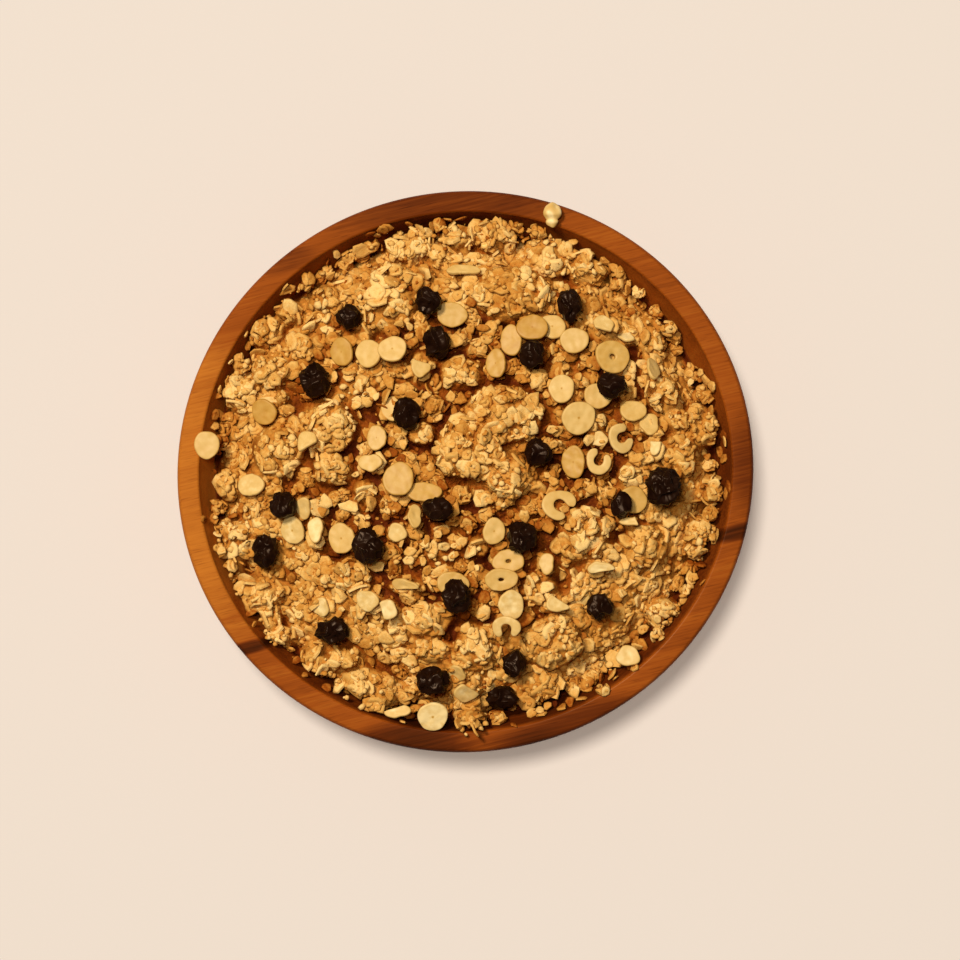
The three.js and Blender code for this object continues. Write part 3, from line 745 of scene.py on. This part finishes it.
def oatMaterial():
    # the mottled tone picks the colour, over a bump of lumps and one of grit
    look = oatLook
    material, tree, shader, place = newMaterial("toastedOats", 0.7, 1.46, 0.12, "#FFE0B0")
    mottle = mottledColour(tree, shader, place, look)
    grit = addNode(tree, "TexNoise", {"Scale": 1 / look["grit"], "Detail": 2, "Vector": place})
    lumpy = addNode(tree, "Bump", {"Strength": 0.6, "Distance": look["lumps"], "Height": mottle})
    bump = addNode(tree, "Bump", {"Strength": 0.5, "Distance": look["gritDepth"],
                                  "Height": grit.outputs["Fac"], "Normal": lumpy.outputs[0]})
    tree.links.new(bump.outputs[0], shader.inputs["Normal"])
    return material


coreHeight = makeCore()
surface = np.maximum(np.where(heapInside, coreHeight, 0), bowlTop)
print("core laid")


# oat clusters: fragments stuck all over the forms that stand out

clusterLook = dict(standing=1.8 * mm, fragments=0.12 / mm ** 2, length=(3.4 * mm, 7.4 * mm),
                   slim=(0.58, 0.92), thickness=(0.9 * mm, 1.6 * mm), lean=0.34, sunk=0.2,
                   bits=0.13 / mm ** 2, bitSize=(1.1 * mm, 3 * mm), bitFlat=0.7,
                   bitRise=(-0.3 * mm, 0.5 * mm), tone=(0.68, 1.04), areas=0.1, areaSize=24 * mm)


def overClusters(density, draw):
    # random places on the triangles of the heap that stand above its ground, let down into the
    # cracks, and their normals
    points, triangles = meshOf(granolaNode)
    places, which = spread(points, triangles, density, draw)
    a, b, c = (points[triangles[which, k]] for k in range(3))
    normals = unit(np.cross(b - a, c - a))
    at = cellOf(places)
    keep = (places[:, 2] - ground[at] > clusterLook["standing"]) & (normals[:, 2] > -0.4)
    keep &= cracks[at] < crackLook["tooDeep"] * crackLook["deep"]
    places[:, 2] -= cracks[at]
    return places[keep], normals[keep]


def addToClusters(name, things, faces, places, draw, flat=()):
    # what crosses nothing stays, with a tone of its own in broad paler and browner areas
    look = clusterLook
    things, clear = settled(things)
    tone = draw.uniform(*look["tone"], len(things))
    tone += look["areas"] * ripple(places[clear], look["areaSize"], 8)
    print(name, len(things))
    addOats(name, things, faces, tone[:, None], flat)


def makeClusters():
    # flakes sunk a little into the surface of the clusters, each leaning its own way
    look = clusterLook
    draw = np.random.default_rng(21)
    places, normals = overClusters(look["fragments"], draw)
    shapes, faces, _, thickness = flakeMeshes(draw.uniform(*look["length"], len(places)), look, draw)
    frames = turnedAnyWay(normals, look["lean"], draw)
    things = placed(shapes, frames, places - normals * look["sunk"] * thickness[:, None])
    addToClusters("oatClusters", things, faces, places, draw, flakeEdges)

    # crumbs baked on between and over them
    places, normals = overClusters(look["bits"], draw)
    places = places + normals * draw.uniform(*look["bitRise"], (len(places), 1))
    shapes, faces = crumbMeshes(draw.uniform(*look["bitSize"], len(places)), draw)
    frames = turnTo(normals, draw.uniform(0, fullTurn, len(places)))
    bits = placed(shapes * (1, 1, look["bitFlat"]), frames, places)
    addToClusters("clusterCrumbs", bits, faces, places, draw)


makeClusters()


def discPoints(count):
    # even points all over a disc of radius 1
    s, t = np.meshgrid(np.linspace(-0.95, 0.95, count), np.linspace(-0.95, 0.95, count))
    inside = s ** 2 + t ** 2 < 0.97
    return np.stack([s[inside], t[inside], np.zeros(inside.sum())], -1)


def paintedShadeBelow(places, most):
    # how much browner things are coloured the deeper they lie under the heap's level: painted shade from what
    # lies over them, and the darker toasting low in the heap
    return np.clip((fillLevel[cellOf(places)] - places[:, 2]) / (5 * mm), 0, 1) * most


# small clumps between the clusters: a lump with flakes stuck round it, let down onto the core

clumpLook = dict(tries=6400, inset=0.5 * mm, byWall=0.35, half=(2.2 * mm, 4.7 * mm), slimHalf=(0.62, 1),
                 tall=(0.58, 0.85), sink=0.7 * mm, fill=0.6 * mm, clusterRelief=2.2 * mm, lumpShare=0.82,
                 flakes=(7, 12), lowest=1.45, flakesAt=0.86, length=(3 * mm, 5.4 * mm), longest=1.5,
                 slim=(0.6, 0.92), thickness=(0.8 * mm, 1.3 * mm), lean=0.32,
                 tone=(0.6, 1.02), lumpTone=0.3, paintedShade=0.2, flakeTone=0.12)


def makeClumps():
    # Each clump comes down as an ellipsoid until it meets the surface, and is left out where the
    # heap is full, on a cluster, or where it would cross a topping. Then flakes are laid round it
    # along a golden-angle spiral from its top to under its waist.
    look = clumpLook
    draw = np.random.default_rng(25)
    count = look["tries"]
    places = overBowl(count, look["inset"], draw, look["byWall"])
    wide = draw.uniform(*look["half"], count)
    deep = wide * draw.uniform(*look["slimHalf"], count)
    half = np.stack([wide, deep, deep * draw.uniform(*look["tall"], count)], -1)
    upright = np.tile((0.0, 0.0, 1.0), (count, 1))
    frames = turnTo(upright, draw.uniform(0, fullTurn, count))
    disc = discPoints(14)
    plates = placed(disc * half[:, None], frames, places)
    bulge = half[:, 2:] * np.sqrt(np.maximum(1 - (disc ** 2).sum(-1), 0))
    row, column = cellOf(places)
    wanted = planRadius[row, column] + deep * 0.6 < edgeOfOats[row, column]
    wanted &= relief[row, column] < look["clusterRelief"]
    kept = np.zeros(count, bool)
    for i in np.flatnonzero(wanted):
        middle = surface[row[i], column[i]]
        cells = cellOf(plates[i])
        height = np.max(surface[cells] + bulge[i]) - look["sink"]
        upper = height + bulge[i]
        tooHigh = height + half[i, 2] > fillLevel[row[i], column[i]] + look["fill"]
        hangs = height - half[i, 2] - middle > mayHang[row[i], column[i]]
        if tooHigh or hangs or (upper > clearBelow[cells] - clearance["below"]).any():
            continue
        surface[cells] = np.maximum(surface[cells], upper)
        places[i, 2] = height
        kept[i] = True
    places, half, frames = places[kept], half[kept], frames[kept]
    # the tone falls the deeper a clump lies: painted shade, and darker toasting
    tone = draw.uniform(*look["tone"], len(places)) - paintedShadeBelow(places, look["paintedShade"])
    shapes, faces = crumbMeshes(np.full(len(places), 2.0), draw)
    lumps = placed(shapes * half[:, None] * look["lumpShare"], frames, places)
    addOats("oatLumps", lumps, faces, tone[:, None] - look["lumpTone"])

    numbers = draw.integers(*look["flakes"], len(places))
    owner = np.repeat(np.arange(len(places)), numbers)
    turn = np.arange(len(owner)) - np.repeat(np.cumsum(numbers) - numbers, numbers)
    rise = 1 - (turn + 0.5) / numbers[owner] * look["lowest"]
    around = turn * 2.4 + draw.uniform(0, fullTurn, len(places))[owner]
    level = np.sqrt(1 - rise ** 2)
    toward = np.stack([level * np.cos(around), level * np.sin(around), rise], -1)
    normals = unit(toward / half[owner])
    reach = toward * half[owner] * look["flakesAt"]
    spots = placed(reach[:, None], frames[owner], places[owner])[:, 0]
    normals = placed(normals[:, None], frames[owner], 0 * spots)[:, 0]
    length = np.minimum(draw.uniform(*look["length"], len(owner)), half[owner, 0] * look["longest"])
    shapes, faces, _, _ = flakeMeshes(length, look, draw)
    things, clear = settled(placed(shapes, turnedAnyWay(normals, look["lean"], draw), spots))
    owner = owner[clear]
    tone = tone[owner] + draw.uniform(-look["flakeTone"], look["flakeTone"], len(owner))
    print("clumps", len(places), "with flakes", len(things))
    # in two pieces, so that neither grows too large
    left = places[owner, 0] < 0
    for name, part in (("oatClumpsLeft", left), ("oatClumpsRight", ~left)):
        addOats(name, things[part], faces, tone[part][:, None], flakeEdges)


makeClumps()


# loose flakes, let down one after another onto what lies below

looseLook = dict(tries=11000, inset=0.5 * mm, byWall=0.1, length=(4.8 * mm, 8 * mm), small=(1, 1, 0.75, 0.6),
                 slim=(0.58, 0.84), thickness=(0.6 * mm, 1 * mm), lean=(0.15, 0.85), sink=(0.2 * mm, 1 * mm),
                 fill=0.4 * mm, onClusters=0.04, clusterRelief=2.4 * mm, rise=2 * mm,
                 tone=(0.42, 1.02), paintedShade=0.25)


def makeLooseFlakes():
    # each flake comes down along the slope or leaning, until its underside meets the surface, and
    # is left out where the heap is full, on most of the clusters, or where it would hang or cross
    look = looseLook
    draw = np.random.default_rng(31)
    count = look["tries"]
    places = overBowl(count, look["inset"], draw, look["byWall"])
    length = draw.uniform(*look["length"], count) * draw.choice(look["small"], count)
    shapes, faces, width, thickness = flakeMeshes(length, look, draw)
    frames = turnedAnyWay(slopeNormals(places), draw.uniform(*look["lean"], count), draw)
    halves = np.stack([length / 2, width / 2, thickness], -1)
    plates = placed(discPoints(9) * halves[:, None], frames, places)
    sink = draw.uniform(*look["sink"], count)
    row, column = cellOf(places)
    onCluster = (relief[row, column] > look["clusterRelief"]) & (draw.random(count) > look["onClusters"])
    wanted = (planRadius[row, column] + width / 3 < edgeOfOats[row, column]) & ~onCluster
    kept = np.zeros(count, bool)
    for i in np.flatnonzero(wanted):
        middle = surface[row[i], column[i]]
        if middle > fillLevel[row[i], column[i]] + look["fill"]:
            continue
        cells = cellOf(plates[i])
        offset = plates[i, :, 2]
        height = np.max(surface[cells] - offset + thickness[i] / 2) - sink[i]
        upper = height + offset + thickness[i] / 2
        highest = np.minimum(clearBelow[cells] - clearance["below"], fillLevel[cells] + look["rise"])
        if height - middle > mayHang[row[i], column[i]] or (upper > highest).any():
            continue
        surface[cells] = np.maximum(surface[cells], upper)
        places[i, 2] = height
        kept[i] = True
    things = placed(shapes[kept], frames[kept], places[kept])
    # the tone falls the deeper a flake lies: painted shade, and darker toasting
    tone = draw.uniform(*look["tone"], kept.sum()) - paintedShadeBelow(places[kept], look["paintedShade"])
    print("loose flakes", len(things))
    addOats("looseFlakes", things, faces, tone[:, None], flakeEdges)


makeLooseFlakes()


# crumbs over everything but the toppings

crumbLook = dict(count=1600, inset=3 * mm, size=(0.7 * mm, 2.4 * mm), raised=0.15, tone=(0.4, 0.9))


def makeCrumbs():
    # small lumps spread over the bowl and laid on the surface where they cross nothing
    look = crumbLook
    draw = np.random.default_rng(41)
    places = overBowl(look["count"], look["inset"], draw)
    least, most = look["size"]
    sizes = least + (most - least) * draw.random(look["count"]) ** 2
    places[:, 2] = surface[cellOf(places)] + sizes * look["raised"]
    shapes, faces = crumbMeshes(sizes, draw)
    things = shapes + places[:, None]
    things = things[crossesNothing(things)]
    print("crumbs", len(things))
    addOats("oatCrumbs", things, faces, draw.uniform(*look["tone"], (len(things), 1)))


makeCrumbs()

# painted shade in the hollows, where syrup also browns the oats: how deep a full hollow is, and how much
# darker it is coloured
hollowShade = dict(depth=3.4 * mm, paintedShade=0.27)


def makeOatPieces(material):
    # each point is coloured browner the deeper it lies under what is highest close round it: painted shade in
    # the hollows
    highest = blurred(neighbours(np.maximum(surface, toppingTop), np.maximum, 3), 3)
    for name, things, faces, tone, flat in oatPieces:
        deep = np.clip((highest[cellOf(things)] - things[..., 2]) / hollowShade["depth"], 0, 1)
        makePiece(name, *joined(things, faces), material, "toasted_oats", [granolaNode],
                  tone - hollowShade["paintedShade"] * deep, flat)


makeOatPieces(oatMaterial())


# nuts

# The cut face of a skinned hazelnut: smooth, waxy, cream, a little yellower towards the edge
nutLook = dict(steps=((0, "#E6C88A"), (0.15, "#D4AE68"), (0.5, "#C29547"), (0.8, "#AE7A28"), (1, "#7A4A1C")),
               mottle=2.5 * mm, mottleDetail=(3, 0.5), mottleStrength=0.25)


def nutMaterial():
    # the mottled tone picks the colour, over a faint bump
    material, tree, shader, place = newMaterial("hazelnutFlesh", 0.5, 1.47, 0.3)
    mottle = mottledColour(tree, shader, place, nutLook)
    bump = addNode(tree, "Bump", {"Strength": 0.3, "Distance": 0.1 * mm, "Height": mottle})
    tree.links.new(bump.outputs[0], shader.inputs["Normal"])
    return material


plateLook = dict(shares=np.linspace(0.12, 0.9, 7), bends=np.radians(np.linspace(90, -90, 9)), round=0.45 * mm,
                 dish=0.16 * mm, dishWidth=0.3, uneven=0.07 * mm, unevenSize=3 * mm)


def plateMesh(outline, half, seed):
    # A slice: rings at shares of the outline's radius, over a rounded edge and back underneath,
    # with a faint dimple in the middle. Returns its grid of points and each one's share.
    look = plateLook
    turn = evenTurns(len(outline))
    flatRows = np.array([(outline - look["round"]) * share for share in look["shares"]])
    edgeRows = np.array([outline - look["round"] * (1 - np.cos(bend)) for bend in look["bends"]])
    reach = np.concatenate([flatRows, edgeRows, flatRows[::-1]])
    flatLevel = np.full(len(look["shares"]), half)
    level = np.concatenate([flatLevel, half * np.sin(look["bends"]), -flatLevel])[:, None]
    share = reach / outline
    level = level - np.sign(level) * look["dish"] * np.exp(-(share / look["dishWidth"]) ** 2)
    points = np.stack([reach * np.cos(turn), reach * np.sin(turn), level], -1)
    points[..., 2] += look["uneven"] * ripple(points, look["unevenSize"], seed)
    return points, share


def smoothOutline(corners, around, waves):
    # how far the sides of a polygon are from its middle at even angles, kept to the first few waves
    corners = corners[np.argsort(np.arctan2(corners[:, 1], corners[:, 0]))]
    angles = np.arctan2(corners[:, 1], corners[:, 0])
    turn = evenTurns(around) - np.pi
    after = np.searchsorted(angles, turn) % len(corners)
    start = corners[after - 1]
    side = corners[after] - start
    cross = start[:, 0] * side[:, 1] - start[:, 1] * side[:, 0]
    reach = np.roll(cross / (np.cos(turn) * side[:, 1] - np.sin(turn) * side[:, 0]), around // 2)
    return np.fft.irfft(np.fft.rfft(reach) * (np.arange(around // 2 + 1) < waves), around)


curlLook = dict(along=48, around=20, squareness=0.5, thinEnds=0.85, thinPower=8)


def curledSlice(outer, inner, half):
    # An open C: a rounded strip that follows the solid's outer corners round their own middle,
    # from one end of the gap to the other, and thins off at both ends
    look = curlLook
    system = np.concatenate([2 * outer, np.ones((len(outer), 1))], 1)
    middle = np.linalg.lstsq(system, (outer ** 2).sum(1), rcond=None)[0][:2]
    outward = outer - middle
    angles = np.arctan2(outward[:, 1], outward[:, 0])
    order = np.argsort(angles)
    angles = angles[order]
    gap = np.argmax(np.diff(np.append(angles, angles[0] + fullTurn)))
    angles = np.roll(angles, -gap - 1)
    angles = np.where(angles < angles[0], angles + fullTurn, angles)
    turn = np.linspace(angles[0], angles[-1], look["along"])[:, None]
    wide = np.interp(turn, angles, np.roll(np.hypot(*outward[order].T), -gap - 1))
    narrow = np.hypot(*(inner - middle).T).mean()
    bend = evenTurns(look["around"])
    waves = np.cos(bend), np.sin(bend)
    across, level = (np.sign(wave) * np.abs(wave) ** look["squareness"] for wave in waves)
    end = np.linspace(-1, 1, look["along"])[:, None]
    thin = np.sqrt(1 - look["thinEnds"] * np.abs(end) ** look["thinPower"])
    radius = (wide + narrow) / 2 + (wide - narrow) / 2 * thin * across
    x = middle[0] + radius * np.cos(turn)
    y = middle[1] + radius * np.sin(turn)
    return np.stack([x, y, half * thin * level], -1)


# the slices that stand out as pale or as yellow have their own tone, which holds their colour and also
# painted light and shade that make up for how the lamps fall on each; the others one at random
sliceLook = dict(around=72, outlineWaves=11, holeWaves=5, tone=(0.16, 0.5), edgeTone=0.1,
                 kernelShare=0.5, kernelTone=0.9,
                 toneAndPaintedLight=dict(hazelnut_disc_35=0.0, hazelnut_disc_33=0.08, hazelnut_disc_30=0.11,
                              hazelnut_disc_13=0.17, hazelnut_disc_29=0.13, hazelnut_disc_06=0.52,
                              hazelnut_disc_22=0.52, hazelnut_disc_09=0.56, hazelnut_disc_15=0.58,
                              hazelnut_disc_01=0.6, hazelnut_disc_28=0.62, hazelnut_disc_08=0.64))


def makeSlice(name, material, seed):
    # A slice follows its solid's own plane and outline. A ring's rows run between its hole's
    # outline and its own
    look = sliceLook
    draw = np.random.default_rng(seed)
    kind = name.split("_")[1]
    micron = 0.001 * mm
    corners = np.unique(np.round(meshOf(name)[0] / micron).astype(int), axis=0) * micron
    centre = corners.mean(0)
    axes = np.linalg.svd(corners - centre)[2]
    axes[2] *= np.sign(axes[2, 2])
    axes[1] = np.cross(axes[2], axes[0])
    local = (corners - centre) @ axes.T
    half = np.abs(local[:, 2]).max()
    radius = np.hypot(local[:, 0], local[:, 1])
    outside = radius > 0.5 * radius.max()
    outer, inner = (local[(local[:, 2] > 0) & part, :2] for part in (outside, ~outside))
    # a named slice's tone is partly its colour, partly painted light and shade
    pale = look["toneAndPaintedLight"].get(name, draw.uniform(*look["tone"]))
    if kind == "open":
        grid = curledSlice(outer, inner, half)
        points = withTips(grid)
        faces = closedFaces(*grid.shape[:2])
        tones = np.full(len(points), pale)
    else:
        outline = smoothOutline(outer, look["around"], look["outlineWaves"])
        grid, share = plateMesh(outline, half, seed + 1)
        rows, around = share.shape
        tone = share ** 4 * look["edgeTone"] + pale
        points = withTips(grid)
        faces = closedFaces(rows, around)
        hasKernel = kind == "disc" and draw.random() < look["kernelShare"]
        tones = np.append(tone, [look["kernelTone"] if hasKernel else tone[0, 0]] * 2)
    if kind == "ring":
        narrow = smoothOutline(inner, look["around"], look["holeWaves"])
        first = share[0].mean()
        reach = narrow + (share - first) / (1 - first) * (outline - narrow)
        turn = evenTurns(around)
        grid[..., 0], grid[..., 1] = reach * np.cos(turn), reach * np.sin(turn)
        last, start = np.arange(around) + (rows - 1) * around, np.arange(around)
        points, tones = grid.reshape(-1, 3), tone
        faces = [faces[0], np.stack([last, start, np.roll(start, -1), np.roll(last, -1)], -1)]
    makePiece(name.replace("hazelnut", "nut"), points @ axes + centre, faces, material, "hazelnut",
              [name], tones)


nut = nutMaterial()
for index, name in enumerate(sliceNodes):
    makeSlice(name, nut, 600 + 2 * index)
print("slices laid", len(sliceNodes))


# slivers and chips of nut bedded in the oats: x, y, size along x, size along y in mm, lean in degrees
slivers = (
    (-15.6, 36.7, 7, 7.7, 12), (7.9, 71.5, 9.8, 6, 30), (48.3, 51.1, 7, 8.8, 14), (65.8, 36, 6, 9.5, 20),
    (57.1, 47.6, 7, 6, 15), (46.2, 11.5, 7.7, 5.3, 18), (64.5, 16.7, 6.7, 8.4, 22),
    (66.6, 9.6, 4.2, 8.4, 35), (58.5, -1.9, 9.1, 5.6, 14), (59.2, -17.3, 10.6, 3.2, 35),
    (47.2, -33.8, 9.8, 4.9, 20), (-26.1, 22, 6.7, 9.1, 20), (-33.1, 3.1, 9.1, 6, 20),
    (-17.7, -15.5, 4.9, 9.1, 35), (28.3, -32, 5.3, 7.7, 18), (-23.7, -21.2, 6.7, 6.7, 10),
    (-67.2, 25.5, 11.2, 3.6, 35), (-55.2, 10.1, 7.4, 9.8, 18), (-56.7, -12.7, 5.6, 8.4, 22),
    (-52.4, -20.1, 5.6, 9.5, 26), (-34.2, -45, 9, 7.5, 18), (-27.5, -48.2, 7.7, 7, 12),
    (-50.7, -47.5, 6.7, 7, 10), (-21.2, -39.8, 10.5, 5, 30), (32.2, -46.1, 9.1, 6, 20),
    (-2.9, -70.7, 6.3, 7, 14), (0.6, -77.3, 9.8, 7.7, 20), (-24, -84, 9.8, 5, 26),
    (39.9, -44.3, 7, 8.4, 16), (57.1, -64.7, 8.4, 7.4, 14),
)
sliverLook = dict(around=40, half=0.6 * mm, lobes=0.07, cutShare=0.4, cutSide=0.5, facing=0.05,
                  leanFrom=40, leanOver=200, leanStep=77, sink=0.4 * mm, tone=(0.02, 0.3), edgeTone=0.15)


def makeSlivers(material):
    # each is a lobed oval, some cut off along one side, let down onto the oats or under a topping
    look = sliverLook
    draw = np.random.default_rng(51)
    turn = evenTurns(look["around"])
    grids, tones = [], []
    for index, (x, y, sizeX, sizeY, lean) in enumerate(slivers):
        halfX, halfY = sizeX / 2 * mm, sizeY / 2 * mm
        oval = halfX * halfY / np.hypot(halfY * np.cos(turn), halfX * np.sin(turn))
        lobed = oval * (1 + look["lobes"] * np.cos(3 * turn + 6 * draw.random())
                        + look["lobes"] / 2 * np.cos(5 * turn + 6 * draw.random()))
        isCut = draw.random() < look["cutShare"]
        cut = look["cutSide"] * min(halfX, halfY) if isCut else halfX + halfY
        facing = np.cos(turn - 6 * draw.random())
        least = look["facing"]
        outline = np.where(facing > least, np.minimum(lobed, cut / np.maximum(facing, least)), lobed)
        points, share = plateMesh(outline, look["half"], 800 + index)
        place = np.array([[x * mm, y * mm, 0.0]])
        toward = np.radians(look["leanFrom"] + index * look["leanStep"] % look["leanOver"])
        leaning = np.tan(np.radians(lean)) * np.array([[np.cos(toward), np.sin(toward), 0]])
        normal = unit(slopeNormals(place) + leaning)
        # the turn about the normal that keeps the sizes along x and y
        unturned = turnTo(normal, np.zeros(1))[0]
        yaw = np.arctan2(unturned[0, 1], unturned[0, 0])
        things = placed(points.reshape(1, -1, 3), turnTo(normal, np.array([yaw])), place)[0]
        cells = cellOf(things)
        height = np.max(surface[cells] - things[:, 2]) - look["sink"]
        things[:, 2] += min(height, np.min(toppingLow[cells] - things[:, 2]) - clearance["below"])
        np.maximum.at(surface, cells, things[:, 2])
        grids.append(withTips(things.reshape(points.shape)))
        tone = draw.uniform(*look["tone"]) + look["edgeTone"] * share ** 4
        tones.append(np.append(tone, [tone[0, 0]] * 2))
    flat, faces = joined(np.array(grids), closedFaces(*share.shape))
    makePiece("nutSlivers", flat, faces, material, "hazelnut", [granolaNode], np.array(tones))


makeSlivers(nut)

chunkLook = dict(rows=40, around=56, waist=-0.28, waistWidth=0.2, waistDepth=0.3, smaller=0.84,
                 uneven=0.05, unevenSize=0.9, tone=0.25, mottle=0.2, mottleSize=4 * mm)


def makeChunk(material):
    # two lumps stuck together: an ellipsoid along Y in its solid's box, drawn in at a waist and
    # slimmer beyond it, its surface uneven by a smooth noise
    look = chunkLook
    low, high = (np.array(corner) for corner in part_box(chunkNode))
    ball = ballPoints(look["rows"], look["around"])[:, [1, 2, 0]]
    along = ball[:, 1:2]
    slim = 1 - look["waistDepth"] * np.exp(-((along - look["waist"]) / look["waistWidth"]) ** 2)
    slim = slim * np.where(along < look["waist"], look["smaller"], 1)
    ball = ball * np.where([True, False, True], slim, 1)
    ball *= 1 + look["uneven"] * (ripple(ball, look["unevenSize"], 61)[:, None] - 0.6)
    points = (low + high) / 2 + ball * (high - low) / 2
    tone = look["tone"] + look["mottle"] * ripple(points, look["mottleSize"], 62)
    makePiece("nutChunk", points, closedFaces(look["rows"], look["around"]), material, "hazelnut",
              [chunkNode], tone)


makeChunk(nut)


# dried berries

# A dried dark berry: near-black leathery skin in deep folds, glossy with its own syrup
berryLook = dict(skin=((0.35, "#140602"), (0.7, "#1F0E06")), patch=3 * mm, roughness=(0.2, 0.42),
                 grain=0.6 * mm, grainDepth=0.1 * mm, rows=56, around=84, folds=0.25, foldSize=6.8 * mm,
                 wrinkles=0.06, wrinkleSize=3.2 * mm, lopsided=0.07, lopsidedSize=2.2)


def berryMaterial():
    # patches of a noise pick the colour and the roughness, over a bump of fine grain
    look = berryLook
    low, high = look["roughness"]
    material, tree, shader, place = newMaterial("driedBerrySkin", low, 1.45, 0.14, "#FFDAB8")
    noise = addNode(tree, "TexNoise", {"Scale": 1 / look["patch"], "Detail": 3, "Vector": place})
    patches = noise.outputs["Fac"]
    ramp = addNode(tree, "ValToRGB", {"Fac": patches})
    colourSteps(ramp.color_ramp, look["skin"])
    tree.links.new(ramp.outputs["Color"], shader.inputs["Base Color"])
    rough = addNode(tree, "MapRange", {"To Min": low, "To Max": high, "Value": patches})
    tree.links.new(rough.outputs[0], shader.inputs["Roughness"])
    grain = addNode(tree, "TexNoise", {"Scale": 1 / look["grain"], "Detail": 2, "Vector": place})
    bump = addNode(tree, "Bump", {"Strength": 0.2, "Distance": look["grainDepth"],
                                  "Height": grain.outputs["Fac"]})
    tree.links.new(bump.outputs[0], shader.inputs["Normal"])
    return material


def makeBerry(name, material, seed):
    # an ellipsoid that fills its solid's box, its radius cut by folds: the crests are where a
    # smooth noise crosses nought, so 1 - |noise| is a web of sharp ridges between round hollows
    look = berryLook
    low, high = (np.array(corner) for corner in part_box(name))
    ball = ballPoints(look["rows"], look["around"])
    size = (high - low).mean() / 2
    web = np.clip(np.abs(ripple(ball * size, look["foldSize"], seed)), 0, 1.2)
    fine = np.clip(np.abs(ripple(ball * size, look["wrinkleSize"], seed + 1)), 0, 1.2)
    reach = 1 - look["folds"] * web - look["wrinkles"] * fine
    reach = reach + look["lopsided"] * ripple(ball, look["lopsidedSize"], seed + 2)
    body = ball * reach[:, None]
    least, most = body.min(0), body.max(0)
    points = low + (body - least) / (most - least) * (high - low)
    makePiece(name.replace("dried_berry", "berry"), points, closedFaces(look["rows"], look["around"]),
              material, "dried_fruit", [name])


berrySkin = berryMaterial()
for index, name in enumerate(berryNodes):
    makeBerry(name, berrySkin, 700 + 3 * index)
print("berries laid", len(berryNodes))
